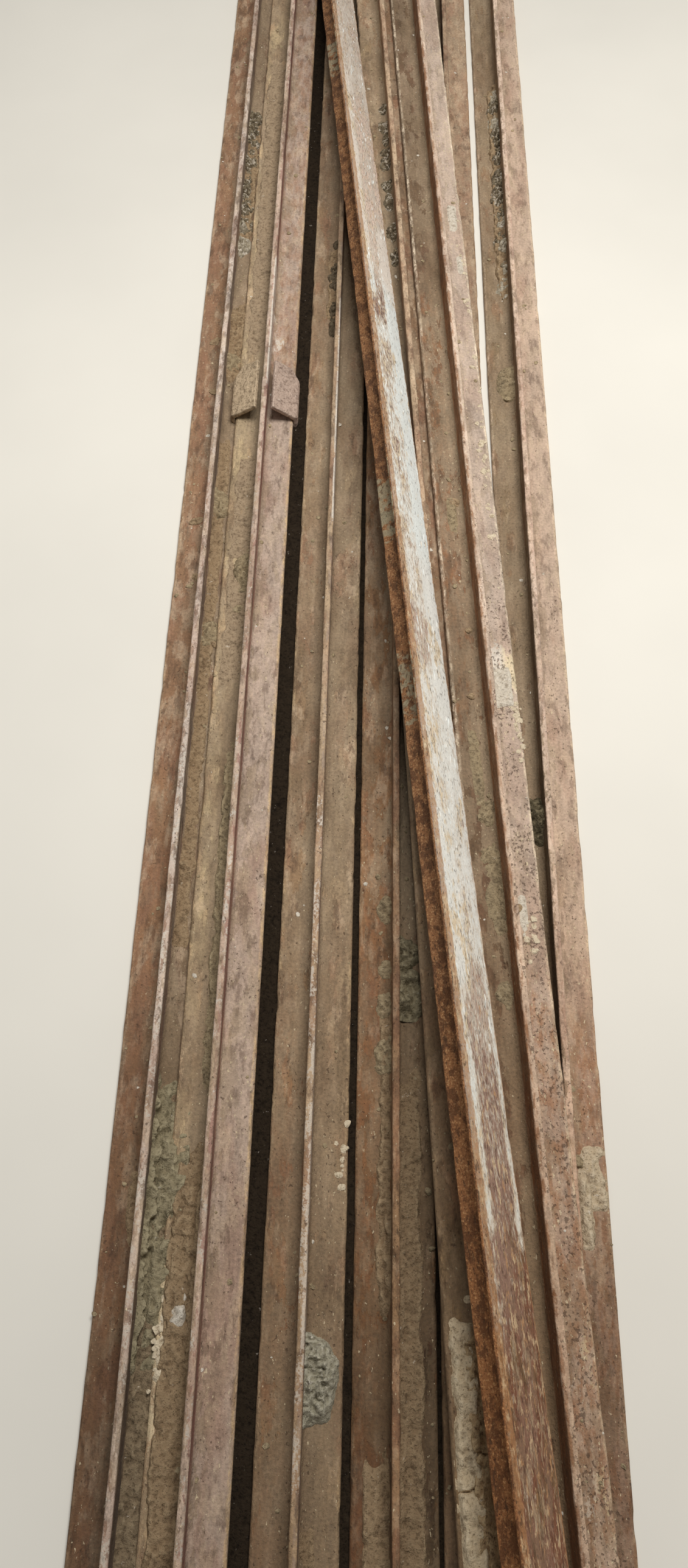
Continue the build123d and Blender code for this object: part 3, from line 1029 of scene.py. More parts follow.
def crust(name, node, side, y_first, y_last, outer, thickness, finish, slot, seed,
          inner=0.0, up_to=13 * MM, lump=9 * MM, spacing=1.3 * MM, cracks=0, level=0.0, rounded=False):
    """A dried crust on one side of the web.

    level flattens its top, cracks split it, and rounded makes a blob.
    """
    path, push = corner_path(side, inner, outer, up_to, spacing)
    first, last = along_at(node, y_first), along_at(node, y_last)
    rows = math.ceil((last - first) / spacing)
    along = np.repeat(np.linspace(first, last, rows), len(path))
    local = np.column_stack([np.tile(path[:, 0], rows), along, np.tile(path[:, 1], rows)])
    steps_in = np.arange(len(path))
    from_rim = np.tile(np.minimum(steps_in, steps_in[::-1]) * spacing, rows)
    from_end = np.minimum(along - first, last - along)
    if rounded:
        run = 2 * (along - first) / (last - first) - 1
        body = blob_body(local, run, inner, outer, lump, spacing, from_rim, from_end, seed)
    else:
        body, thinning = ragged_body(local, last - first, lump, spacing, from_rim, from_end, seed)
        thickness = thickness * thinning
    height = thickness * (body * (level + (1.35 - level) * crust_lumps(local, lump, seed) + 0.2) - 0.16)
    height += 0.15 * MM * grain(local, 2.4 * MM, seed + 2) * smooth_step(0, 0.5, body)
    if cracks:
        height -= 0.75 * thickness * crack_mask(local[:, :2], cracks, seed)
    height = np.maximum(height, -DEEPEST)
    local[:, 0] += height * np.tile(push[:, 0], rows)
    local[:, 2] += height * np.tile(push[:, 1], rows)
    quads = grid_faces(rows, len(path), closed=False)
    kept = height[quads].max(axis=1) > -JUST_UNDER
    return piece_of_sheet(name, node, local, quads, kept, side, finish)


print("a crust sinks at most", DEEPEST / MM, "mm into the steel")

# %% [markdown]
# A thicker lump is a heap, thrown against the web: half a dome over the flange, broken up by grain.
# It could be a crust with a large thickness, but pushing points so far out of a corner tangles them.
# A dome is only lifted, so its points never cross.

# %% Lean a heap against the web
SUNK_IN_WEB = 0.2 * MM
HEAP_SPACING = 1.0 * MM


def heap(name, node, side, row_y, length, outer, height, finish, slot, seed, lump, warp=1.0):
    columns = math.ceil(outer / HEAP_SPACING) + 1
    rows = math.ceil(length / HEAP_SPACING) + 1
    out, run = np.meshgrid(np.linspace(0, outer, columns), np.linspace(-1, 1, rows))
    out, run = out.ravel(), run.ravel()
    along = along_at(node, row_y) + run * length / 2
    local = np.column_stack([side * (HALF_WEB - SUNK_IN_WEB + out), along, np.zeros(len(out))])
    reach = np.sqrt((out / outer) ** 2 + run**2)
    reach += warp * (0.2 * grain(local, 1.3 * lump, seed) + 0.1 * grain(local, 0.5 * lump, seed + 1))
    dome = np.sqrt(np.clip(1 - reach**2, 0, 1))
    lumps = 0.75 + 0.4 * grain(local, lump, seed + 2) + 0.24 * grain(local, 0.45 * lump, seed + 3)
    lumps += 0.1 * grain(local, 0.22 * lump, seed + 6)
    lumps += 0.25 * smooth_step(-0.1, 0.15, grain(local, 0.7 * lump, seed + 4))
    base = surface_up(local[:, 0])
    rise = THICKNESS + height * (dome * lumps - 0.1) + 0.15 * MM * grain(local, 2 * MM, seed + 5)
    local[:, 2] = np.maximum(rise, base - 0.4 * MM)
    quads = grid_faces(rows, columns, closed=False)
    kept = (local[:, 2] - base)[quads].max(axis=1) > -0.1 * MM
    return piece_of_sheet(name, node, local, quads, kept, -side, finish)


print("a heap has a point every", HEAP_SPACING / MM, "mm")

# %% [markdown]
# ## The finish of mud and cement
#
# Dried mud is matt and olive brown. Its high spots get a painted highlight and its hollows painted shade.
# Cement is greyer and has pale lime spots. One recipe does for both, with its own tones for each.
# Geometry pointiness tells the shader where the crust bulges, and there it gets a painted highlight.

# %% One recipe for everything that caked on


def caked_finish(name, seed, dark, middle, light, spots=0.0, near=0.75):
    """Tones for hollows, body and high spots; spots is the lime share, near the painted near-end shade."""
    r = Recipe(name)
    along = r.follow_bar(seed)[1]
    dark, middle, light = tone(*dark), tone(*middle), tone(*light)
    broad = r.patches(1, 0, 12, 4.0, 0.6)
    rough = r.patches(1, 0, 3.4, 5.0, 0.66)
    grit = r.patches(1, 9, 1.4, 3.0, 0.6)
    # Painted highlight: the bulges of the crust are mixed toward its light tone.
    bulge_highlight = r.step(0.44, 0.58, r.node("ShaderNodeNewGeometry", {}, "Pointiness"))
    colour = r.mix(dark, middle, r.step(0.0, 0.55, r.plus(r.times(broad, 0.75), r.times(rough, 0.25))))
    colour = r.mix(colour, light, r.times(r.between(0.35, 0.9, rough), bulge_highlight))
    lime = r.step(0.95 - spots, 1.05 - spots, r.patches(1, 3, 5, 4.0, 0.65))
    colour = r.mix(colour, r.mix(light, PALE_PAINT, 0.5), lime)
    hollow = r.step(0.82, 1.0, r.patches(1, 6, 1.7, 2.0))
    colour = r.mix(colour, dark, r.times(hollow, 0.5))
    # Painted shade: the low spots of the rough bump are darkened.
    crevice_shade = r.times(r.step(0.42, 0.16, rough), 0.45)
    colour = r.mix(colour, dark, crevice_shade)
    # Painted shading: lighter where the bump is high, darker where it is low, and painted shade at the near
    # end.
    height_shading = r.plus(r.between(0.42, 0.58, rough), r.between(0.42, 0.58, grit))
    painted_near_shade = r.between(near, 1.0, r.step(*NEAR_SHADE_SPAN, along))
    colour = r.shade(colour, r.times(height_shading, painted_near_shade))
    height = r.plus(r.plus(r.times(rough, 0.9), r.times(broad, 0.9)), r.times(grit, 0.25))
    return r.finish(colour, 0.97, r.minus(height, r.times(hollow, 0.4)), 0.08)


def caked_slot(finish):
    """The name cement_crust for a cement finish and dried_mud for the rest."""
    return "cement_crust" if "cement" in finish.name else "dried_mud"


DARK_MUD = caked_finish("dark_mud", 1.0, (48, 40, 30), (86, 73, 56), (138, 124, 102))
BROWN_MUD = caked_finish("brown_mud", 2.0, (98, 78, 58), (144, 120, 92), (180, 157, 125), 0.03, 0.85)
OLIVE_MUD = caked_finish("olive_mud", 3.0, (98, 84, 66), (146, 128, 100), (182, 164, 132), 0.03, 0.85)
GREEN_MUD = caked_finish("green_mud", 4.0, (88, 78, 58), (142, 130, 103), (180, 168, 138), 0.03, 0.85)
DARK_OLIVE_MUD = caked_finish("dark_olive_mud", 14.0, (50, 44, 32), (92, 82, 62), (136, 124, 98))
UMBER_MUD = caked_finish("umber_mud", 18.0, (84, 70, 54), (128, 110, 87), (164, 146, 118), 0.05, 0.85)
SAND_MUD = caked_finish("sand_mud", 17.0, (108, 90, 70), (158, 136, 110), (184, 163, 136), 0.04, 0.9)
LIME_MUD = caked_finish("lime_mud", 9.5, (88, 76, 58), (150, 138, 116), (206, 196, 176), 0.25)
MIXED_MUD = caked_finish("mixed_mud", 16.0, (40, 32, 24), (84, 71, 54), (158, 145, 120), 0.34)
CREAM_CRUST = caked_finish("cream_crust", 15.0, (136, 112, 86), (198, 178, 146), (222, 208, 182), 0.1, 0.95)
SLAB_SMOOTH = caked_finish("slab_cement", 12.0, (124, 103, 78), (212, 189, 154), (230, 213, 182), 0.05, 1.0)
SLAB_ROUGH = caked_finish("slab_mud", 13.0, (80, 60, 42), (168, 138, 102), (208, 183, 144), 0.08, 1.0)
GREY_CEMENT = caked_finish("grey_cement", 5.0, (98, 91, 74), (158, 151, 130), (198, 192, 172), 0.14, 0.95)
PALE_CEMENT = caked_finish("pale_cement", 6.0, (152, 136, 116), (204, 192, 173), (226, 218, 203), 0.2, 0.95)
TAN_CEMENT = caked_finish("tan_cement", 7.0, (124, 103, 79), (188, 168, 138), (214, 198, 172), 0.08, 0.95)
# A near-black dirt tone that stands in for the deep shade in the gaps between the bars.
GAP_SHADE_FILL = caked_finish("gap_shade_fill", 8.0, (20, 15, 11), (38, 30, 22), (62, 52, 40), near=1.0)
print("the", GREY_CEMENT.name, "has", len(GREY_CEMENT.node_tree.nodes), "nodes")

# %% [markdown]
# ## Where the mud and cement lie
#
# Each entry is one crust: its bar, its side of the web, from where to where along Y, how far out from the
# web it reaches and how thick it is, both in millimetres. Left of the web is -1 and right is 1.
# The short ones are single cakes and blobs, and the long thin ones are mud that covers a whole stretch.

# %% Lay the crusts
CRUSTS = [
    ("mud_1_far", "lower_bar_1", 1, 0.4, 0.68, 17, 3.4, BROWN_MUD, {}),
    ("mud_1_middle", "lower_bar_1", 1, 0.18, 0.35, 17, 3.6, BROWN_MUD, {}),
    ("mud_1_film", "lower_bar_1", 1, -0.46, 0.16, 14, 1.6, BROWN_MUD, {"lump": 0.012}),
    ("mud_1_cake", "lower_bar_1", 1, -0.76, -0.52, 29, 7.0, GREEN_MUD,
     {"level": 0.1, "up_to": 0.02, "lump": 0.011}),
    ("mud_1_near", "lower_bar_1", 1, -1.3, -0.56, 28, 3.4, UMBER_MUD, {"lump": 0.011}),
    ("mud_1_left", "lower_bar_1", -1, -0.67, -0.6, 12, 3.0, BROWN_MUD, {"up_to": 0.022, "rounded": True}),
    ("mud_2_corner", "lower_bar_2", -1, -0.56, -0.22, 12, 2.8, OLIVE_MUD, {}),
    ("mud_2_cake", "lower_bar_2", -1, -0.78, -0.56, 24, 4.2, BROWN_MUD,
     {"level": 0.2, "up_to": 0.016, "lump": 0.011}),
    ("mud_2_near", "lower_bar_2", -1, -1.25, -0.6, 25, 2.8, BROWN_MUD, {"level": 0.1, "lump": 0.011}),
    ("cement_2_chip", "lower_bar_2", -1, -0.72, -0.676, 23, 6.0, PALE_CEMENT,
     {"inner": 0.002, "rounded": True}),
    ("mud_2_far", "lower_bar_2", -1, 0.2, 0.8, 25, 1.5, SAND_MUD, {"lump": 0.013, "spacing": 0.0016}),
    ("mud_2_middle", "lower_bar_2", -1, -0.2, 0.14, 24, 1.4, SAND_MUD, {"lump": 0.013, "spacing": 0.0016}),
    ("mud_3_left", "lower_bar_3", -1, 0.28, 0.44, 13, 2.8, BROWN_MUD, {}),
    ("mud_3_near", "lower_bar_3", 1, -1.2, -0.79, 14, 1.6, BROWN_MUD, {"lump": 0.013}),
    ("mud_4_left", "lower_bar_4", -1, -0.72, -0.455, 13, 3.0, BROWN_MUD, {}),
    ("mud_4_near", "lower_bar_4", -1, -0.93, -0.77, 20, 3.4, BROWN_MUD, {"lump": 0.014}),
    ("mud_4_right", "lower_bar_4", 1, -1.3, -0.5, 20, 2.2, BROWN_MUD, {"lump": 0.012}),
    ("mud_5_left", "lower_bar_5", -1, -1.2, -0.2, 18, 2.4, BROWN_MUD, {"lump": 0.013}),
    ("mud_6_column", "lower_bar_6", -1, 0.32, 0.75, 14, 3.6, BROWN_MUD, {}),
    ("cement_6_blob", "lower_bar_6", 1, -0.628, -0.575, 28, 5.5, TAN_CEMENT,
     {"rounded": True, "level": 0.3, "inner": 0.003}),
    ("cement_6_drip", "lower_bar_6", 1, -0.655, -0.59, 17, 5.0, TAN_CEMENT,
     {"rounded": True, "level": 0.3, "inner": 0.001}),
    ("slab_smooth", "upper_bar_1", -1, -1.15, -0.655, 26, 6.0, SLAB_SMOOTH,
     {"inner": 0.003, "level": 0.6, "cracks": 9, "lump": 0.016}),
    ("slab_rough", "upper_bar_1", -1, -1.12, -0.69, 16, 6.0, SLAB_ROUGH,
     {"level": 0.25, "cracks": 10, "lump": 0.007}),
    ("mud_u2_first", "upper_bar_2", -1, -0.02, 0.03, 18, 1.8, OLIVE_MUD, {"rounded": True, "inner": 0.004}),
    ("mud_u2_second", "upper_bar_2", -1, -0.31, -0.23, 19, 2.0, OLIVE_MUD,
     {"rounded": True, "inner": 0.003}),
    ("mud_u2_third", "upper_bar_2", -1, -0.43, -0.35, 16, 2.2, OLIVE_MUD, {"rounded": True}),
    ("cement_u2_patch", "upper_bar_2", 1, -0.216, -0.165, 25, 2.6, PALE_CEMENT,
     {"level": 0.4, "rounded": True, "inner": 0.001, "lump": 0.007}),
    ("chip_u2_far", "upper_bar_2", 1, 0.41, 0.46, 24, 1.6, PALE_CEMENT,
     {"inner": 0.008, "rounded": True, "level": 0.6}),
    ("chip_u2_next", "upper_bar_2", 1, 0.34, 0.375, 25, 1.6, PALE_CEMENT,
     {"inner": 0.012, "rounded": True, "level": 0.6}),
    ("chip_u2_near", "upper_bar_2", 1, -0.43, -0.385, 16, 1.6, PALE_CEMENT,
     {"inner": 0.003, "rounded": True}),
]
quad_count = 0
for number, (name, node, side, y_first, y_last, outer, thick, finish, more) in enumerate(CRUSTS):
    sizes = (outer * MM, thick * MM)
    seed = 3 * number + 1
    quad_count += crust(name, node, side, y_first, y_last, *sizes, finish, caked_slot(finish), seed, **more)
print("crusts:", len(CRUSTS), "quads:", quad_count)

# %% [markdown]
# Single heaps are listed one by one: place along Y, then length, reach and height in millimetres.
# After the finish come the size of the lumps in a heap and how far its outline strays from round.

# %% Throw single heaps against the webs
HEAPS = [
    ("cement_3_blob", "lower_bar_3", 1, -0.742, 62, 24.5, 15, GREY_CEMENT, 7, 0.5),
    ("mud_4_pile_far", "lower_bar_4", 1, -0.428, 36, 22, 12, GREEN_MUD, 7, 1),
    ("mud_4_pile_near", "lower_bar_4", 1, -0.463, 44, 24, 11, GREEN_MUD, 7, 1),
    ("mud_4_bit_1", "lower_bar_4", -1, -0.39, 28, 13, 5, OLIVE_MUD, 5, 1),
    ("mud_4_bit_2", "lower_bar_4", -1, -0.441, 18, 12, 4, OLIVE_MUD, 5, 1),
    ("mud_4_bit_3", "lower_bar_4", -1, -0.472, 22, 13, 5, OLIVE_MUD, 5, 1),
    ("mud_4_bit_4", "lower_bar_4", -1, -0.513, 38, 14, 5, OLIVE_MUD, 5, 1),
    ("mud_6_tip", "lower_bar_6", -1, -0.305, 48, 24, 14, DARK_OLIVE_MUD, 7, 1),
    ("mud_6_clod", "lower_bar_6", -1, 0.215, 54, 19, 9, OLIVE_MUD, 15, 0.8),
    ("mud_1_clod_far", "lower_bar_1", 1, 0.3, 52, 19, 8, BROWN_MUD, 7, 1),
    ("mud_1_clod_middle", "lower_bar_1", 1, 0.235, 34, 17, 7, OLIVE_MUD, 7, 1),
    ("mud_1_clod_near", "lower_bar_1", 1, 0.04, 44, 18, 8, OLIVE_MUD, 7, 1),
    ("mud_1_clod_last", "lower_bar_1", 1, -0.116, 34, 19, 7, OLIVE_MUD, 7, 1),
    ("mud_1_clod_end", "lower_bar_1", 1, -0.352, 26, 16, 6, BROWN_MUD, 6, 1),
    ("mud_2_clod", "lower_bar_2", -1, -0.045, 52, 17, 8, OLIVE_MUD, 7, 1),
    ("mud_u2_bit_1", "upper_bar_2", -1, -0.315, 26, 15, 4, OLIVE_MUD, 5, 1),
    ("mud_u2_bit_2", "upper_bar_2", -1, -0.352, 20, 17, 4, OLIVE_MUD, 5, 1),
    ("mud_u2_bit_3", "upper_bar_2", -1, -0.47, 26, 15, 4, OLIVE_MUD, 5, 1),
]
heap_quads = 0
for number, (name, node, side, row_y, length, outer, height, finish, lump, warp) in enumerate(HEAPS):
    sizes = (length * MM, outer * MM, height * MM)
    seed = 500 + 7 * number
    heap_quads += heap(name, node, side, row_y, *sizes, finish, caked_slot(finish), seed, lump * MM, warp)
print("single heaps:", len(HEAPS), "quads:", heap_quads)

# %% [markdown]
# The long muddy columns at the far end are rows of small heaps whose sizes are drawn at random.
# A column tells from where to where it runs, the most that its heaps reach out and about how high they
# stand, both in millimetres, and how many of them are pale with lime. The narrowest is plain dark mud.

# %% Pile up the muddy columns
WIDE_COLUMN = 14
COLUMNS = [
    ("column_1", "lower_bar_1", 1, 0.42, 0.665, 18, 13, 0.2),
    ("column_3", "lower_bar_3", -1, 0.29, 0.44, 12, 7, 0.0),
    ("column_6", "lower_bar_6", -1, 0.36, 0.73, 15, 12, 0.2),
    ("column_u1", "upper_bar_1", -1, 0.37, 0.64, 14, 6, 0.0),
]
random = np.random.default_rng(31)
for name, node, side, y_first, y_last, outer, height, pale_share in COLUMNS:
    row_y = y_first
    count = 0
    while row_y < y_last:
        length = random.uniform(14, 40)
        own_mud = DARK_MUD if outer < WIDE_COLUMN else MIXED_MUD
        finish = LIME_MUD if random.random() < pale_share else own_mud
        sizes = (length * MM, outer * random.uniform(0.5, 1.0) * MM, height * random.uniform(0.4, 1.1) * MM)
        seed = 700 + round(1000 * row_y)
        piece_name = f"{name}_heap_{count}"
        heap_quads += heap(piece_name, node, side, row_y, *sizes, finish, caked_slot(finish), seed, 5 * MM)
        widest_gap = 0.9 if outer > WIDE_COLUMN else 1.6
        row_y += random.uniform(0.4, widest_gap) * length * MM
        count += 1
print("quads in all heaps:", heap_quads)

# %% [markdown]
# ## Painted shade in the gaps between the bars
#
# The narrow gaps between neighbouring bars are almost black with shade. A low crumbly strip of near-black
# dirt between the facing edges of each pair paints that shade, and hides nothing of the steel.

# %% Fill the gaps with painted shade
TUCKED_UNDER = 0.6 * MM
NARROWEST_STRIP = 1.0 * MM


def edge_line(node, side, stations_y):
    """Where a bar's flange edge runs, as X for each Y."""
    place = places[node]
    edge = place["near"] + side * HALF_FLANGE * place["sideways"]
    return edge[0] + (stations_y - edge[1]) / place["along"][1] * place["along"][0]


# A strip of near-black dirt between two bars, as painted shade in the gap.
def lay_gap_shade(name, left_node, right_node, seed):
    stations_y = np.arange(-1.5, 1.5, 4 * MM)
    left = edge_line(left_node, 1, stations_y) - TUCKED_UNDER
    right = edge_line(right_node, -1, stations_y) + TUCKED_UNDER
    share = np.linspace(0, 1, 7)
    x = left[:, None] * (1 - share) + right[:, None] * share
    y = np.repeat(stations_y, len(share))
    flat = np.column_stack([x.ravel(), y, np.zeros(len(y))])
    flat[:, 2] = 1.0 * MM + 0.7 * MM * grain(flat, 7 * MM, seed) + 0.3 * MM * grain(flat, 2.5 * MM, seed + 1)
    flat[:, 2] = np.maximum(flat[:, 2], 0.3 * MM)
    quads = grid_faces(len(stations_y), len(share), closed=False)
    wide = np.repeat(right - left > NARROWEST_STRIP, len(share))
    quads = quads[wide[quads].all(axis=1)]
    piece = new_piece(name, flat, quads.tolist(), 60)
    store_vectors(piece.data, "place", flat)
    piece.data.materials.append(GAP_SHADE_FILL)
    return float((right - left).min()), float((right - left).max())


for number in range(3):
    left_node, right_node = f"lower_bar_{number + 2}", f"lower_bar_{number + 3}"
    widths = lay_gap_shade(f"gap_shade_strip_{number + 1}", left_node, right_node, 40 + number)
    print("strip from", left_node, "to", right_node, [round(width / MM, 1) for width in widths], "mm wide")

# %% [markdown]
# ## Clods, crumbs and chips
#
# Loose lumps lie in the corners and on the flanges. Each is a small ball of triangles, squashed and dented
# by random grain, and sunk a little into what it lies on. All lumps of one kind on one bar share a mesh,
# because a thousand separate objects would be slow to handle.

# %% Make one mesh of many lumps


def ball(detail):
    """Points and triangles of a unit ball."""
    mesh = bpy.data.meshes.new("ball")
    builder = bmesh.new()
    bmesh.ops.create_icosphere(builder, subdivisions=detail, radius=1)
    builder.to_mesh(mesh)
    builder.free()
    points = np.array([vertex.co for vertex in mesh.vertices])
    faces = np.array([face.vertices for face in mesh.polygons])
    bpy.data.meshes.remove(mesh)
    return points, faces


CRUMB_BALL = ball(1)
CLOD_BALL = ball(3)


def lumps(name, node, spots, unit_ball, finish, slot, seed):
    """One mesh of many lumps. A spot is across, row y, radius and flatness."""
    random = np.random.default_rng(seed)
    unit, faces = unit_ball
    all_points, all_faces = [], []
    for number, (across, row_y, radius, flatness) in enumerate(spots):
        stretch = radius * np.array([1, random.uniform(0.9, 1.5), flatness])
        dents = 0.42 * grain(unit * radius + number * 0.31, radius * 0.9, seed)
        dents += 0.2 * grain(unit * radius + number * 0.31, radius * 0.35, seed + 1)
        points = unit * stretch * (1 + dents)[:, None]
        turn = random.uniform(0, math.tau)
        spin = np.array([[math.cos(turn), math.sin(turn)], [-math.sin(turn), math.cos(turn)]])
        points[:, :2] = points[:, :2] @ spin
        middle = (across, along_at(node, row_y), surface_up(across) + 0.15 * radius * flatness)
        all_faces.append(faces + number * len(unit))
        all_points.append(points + middle)
    local = np.vstack(all_points)
    piece = new_piece(name, to_world(node, local), np.vstack(all_faces).tolist(), 50)
    store_vectors(piece.data, "place", local)
    piece.data.materials.append(finish)
    return len(spots)


print("triangles in a crumb:", len(CRUMB_BALL[1]), "and in a clod:", len(CLOD_BALL[1]))

# %% [markdown]
# Crumbs are strewn at random, thicker by the web than at the edges, because that is where they roll to.
# Flakes lie along a flange edge, thickest in the middle of their stretch.

# %% Draw random places for crumbs and flakes


def strewn(count, side, y_first, y_last, smallest, largest, seed):
    """Random spots, most of them near the web, and many small ones to a large one."""
    random = np.random.default_rng(seed)
    across = side * (HALF_WEB + (25 * random.random(count) ** 1.8 + 1.5) * MM)
    row_y = random.uniform(y_first, y_last, count)
    radius = (smallest + (largest - smallest) * random.random(count) ** 3) * MM
    return list(zip(across, row_y, radius, random.uniform(0.45, 0.8, count)))


def edge_spots(count, across, y_first, y_last, flatness, seed):
    """Random spots along a flange edge, thickest in the middle of the stretch."""
    random = np.random.default_rng(seed)
    row_y = random.normal((y_first + y_last) / 2, (y_last - y_first) / 4, count)
    places_across = random.normal(across, 2.2, count) * MM
    radius = random.uniform(1.0, 3.4, count) * MM
    return list(zip(places_across, row_y, radius, random.uniform(0.8, 1.3, count) * flatness))


sample = [abs(spot[0]) / MM for spot in strewn(500, 1, 0, 1, 1, 2, 5)]
print("half of the crumbs lie within", round(float(np.median(sample)), 1), "mm of the middle of the web")

# %% [markdown]
# The few large clods are listed one by one, with place across in millimetres, place along Y, radius in
# millimetres and flatness. Crumbs only need a number for the left and one for the right of the web,
# and flakes have a place across, a stretch along Y, a number and a flatness.

# %% Strew lumps along the bars
CLODS = {
    "lower_bar_1": [
        (13, 0.285, 4.5, 0.6), (15, 0.205, 3.5, 0.6), (14, -0.125, 3.5, 0.6), (-12, 0.27, 5, 0.3),
        (-9, 0.195, 4, 0.4), (-14, 0.02, 4.5, 0.3), (-8, -0.05, 4, 0.3),
    ],
    "lower_bar_2": [(-12, -0.09, 4, 0.5), (-7, -0.3, 3.5, 0.6)],
    "lower_bar_4": [(13, -0.45, 5, 0.7), (-8, -0.52, 3.5, 0.6)],
    "lower_bar_6": [(-11, 0.19, 4, 0.7), (9, -0.59, 5, 0.5)],
    "upper_bar_2": [(-11, 0.02, 4, 0.5), (-9, -0.13, 3.5, 0.5), (-13, -0.2, 3, 0.6), (8, -0.4, 4, 0.4)],
}
CRUMBS = {
    "lower_bar_1": (120, 110), "lower_bar_2": (120, 40), "lower_bar_3": (60, 60), "lower_bar_4": (80, 120),
    "lower_bar_5": (90, 30), "lower_bar_6": (140, 50), "upper_bar_1": (110, 30), "upper_bar_2": (120, 60),
}
CHIP_FLATNESS = 0.25
lump_count = 0
for number, (node, spots) in enumerate(CLODS.items()):
    scaled = [(across * MM, row_y, radius * MM, flatness) for across, row_y, radius, flatness in spots]
    mud = GREEN_MUD if node == "lower_bar_4" else OLIVE_MUD if number % 2 else BROWN_MUD
    lump_count += lumps(node + "_clods", node, scaled, CLOD_BALL, mud, "dried_mud", 100 + number)
for number, (node, (left_count, right_count)) in enumerate(CRUMBS.items()):
    spots = strewn(left_count, -1, -1.4, 1.4, 0.6, 2.6, 200 + number)
    spots += strewn(right_count, 1, -1.4, 1.4, 0.6, 2.6, 220 + number)
    lump_count += lumps(node + "_crumbs", node, spots, CRUMB_BALL, OLIVE_MUD, "dried_mud", 240 + number)
    chips = strewn(14, -1, -1.2, 1.2, 0.7, 2.2, 260 + number)
    chips += strewn(16, 1, -1.2, 1.2, 0.7, 2.2, 280 + number)
    flat = [(across, row_y, radius, CHIP_FLATNESS) for across, row_y, radius, _ in chips]
    lump_count += lumps(node + "_chips", node, flat, CRUMB_BALL, PALE_CEMENT, "cement_crust", 300 + number)
EDGE_FLAKES = [
    ("flakes_2_near", "lower_bar_2", -26, -0.765, -0.69, 40, 0.35),
    ("flakes_3", "lower_bar_3", 26, -0.62, -0.56, 14, 0.3),
    ("flakes_u2", "upper_bar_2", 26, -0.26, -0.2, 22, 0.3),
    ("flakes_u2_near", "upper_bar_2", 18, -0.45, -0.41, 12, 0.3),
    ("flakes_u2_middle", "upper_bar_2", 24, -0.04, 0.12, 26, 0.3),
    ("flakes_u2_far", "upper_bar_2", 25, 0.2, 0.5, 20, 0.3),
]
for number, (name, node, across, y_first, y_last, count, flatness) in enumerate(EDGE_FLAKES):
    spots = edge_spots(count, across, y_first, y_last, flatness, 320 + number)
    lump_count += lumps(name, node, spots, CRUMB_BALL, CREAM_CRUST, "cement_crust", 340 + number)
print("lumps:", lump_count)

# %% [markdown]
# ## Slivers of paint that stand off the steel
#
# Seen from close by, the paint on the crossing bar is not flat: its slivers curl up along one side
# and throw a thin shadow. Each sliver is a narrow lens of a few quads, bent upwards at one long side.

# %% Raise paint slivers on the crossing bar


def sliver_finish():
    r = Recipe("paint_slivers")
    r.follow_bar(5.0)
    worn = r.patches(0.2, 0, 4, 4.0, 0.6)
    colour = r.mix(PAINT_WHITE, PAINT_WORN, r.step(0.3, 0.9, worn))
    return r.finish(r.shade(colour, r.between(0.85, 1.05, worn)), 0.7)


def paint_slivers(node, count, y_first, y_last, seed):
    random = np.random.default_rng(seed)
    rows, columns = 6, 3
    share, width_share = np.meshgrid(np.linspace(0, 1, rows), np.linspace(0, 1, columns), indexing="ij")
    share, width_share = share.ravel(), width_share.ravel()
    all_points = []
    for _ in range(count):
        length = random.uniform(3, 11) * MM
        width = random.uniform(0.5, 1.3) * MM
        lens = np.sin(math.pi * np.clip(share, 0.03, 0.97)) ** 0.6
        across = random.uniform(-28, 28) * MM + (width_share - 0.5) * width * lens * random.choice([-1, 1])
        along = along_at(node, random.uniform(y_first, y_last)) + (share - 0.5) * length
        across += 0.5 * MM * np.sin(share * random.uniform(2, 6) + random.uniform(0, 6))
        lift = (0.15 + random.uniform(0.1, 0.7) * width_share**2 * lens) * MM
        all_points.append(np.column_stack([across, along, -lift]))
    local = np.vstack(all_points)
    local = local[np.repeat(np.abs(local[:: rows * columns, 0]) < HALF_FLANGE, rows * columns)]
    quads = grid_faces(rows, columns, closed=False)
    starts = np.arange(len(local) // (rows * columns)) * rows * columns
    faces = (quads[None] + starts[:, None, None]).reshape(-1, 4)
    piece = new_piece(node + "_slivers", to_world(node, local), faces.tolist(), 60)
    store_vectors(piece.data, "place", local)
    piece.data.materials.append(sliver_finish())
    return len(starts)


print("paint slivers:", paint_slivers("crossing_bar", 600, -0.55, 1.3, 77))

# %% [markdown]
# ## The two edge clips
#
# The clips were bent from plate and have rusted with the bars. Their CAD meshes have only a few faces,
# so a copy is rebuilt as an even fine mesh, and its points are then moved by rust and mud grain.
# The left clip is coated in tan mud, and the right one is pinkish with pale specks.

# %% Weather the clips


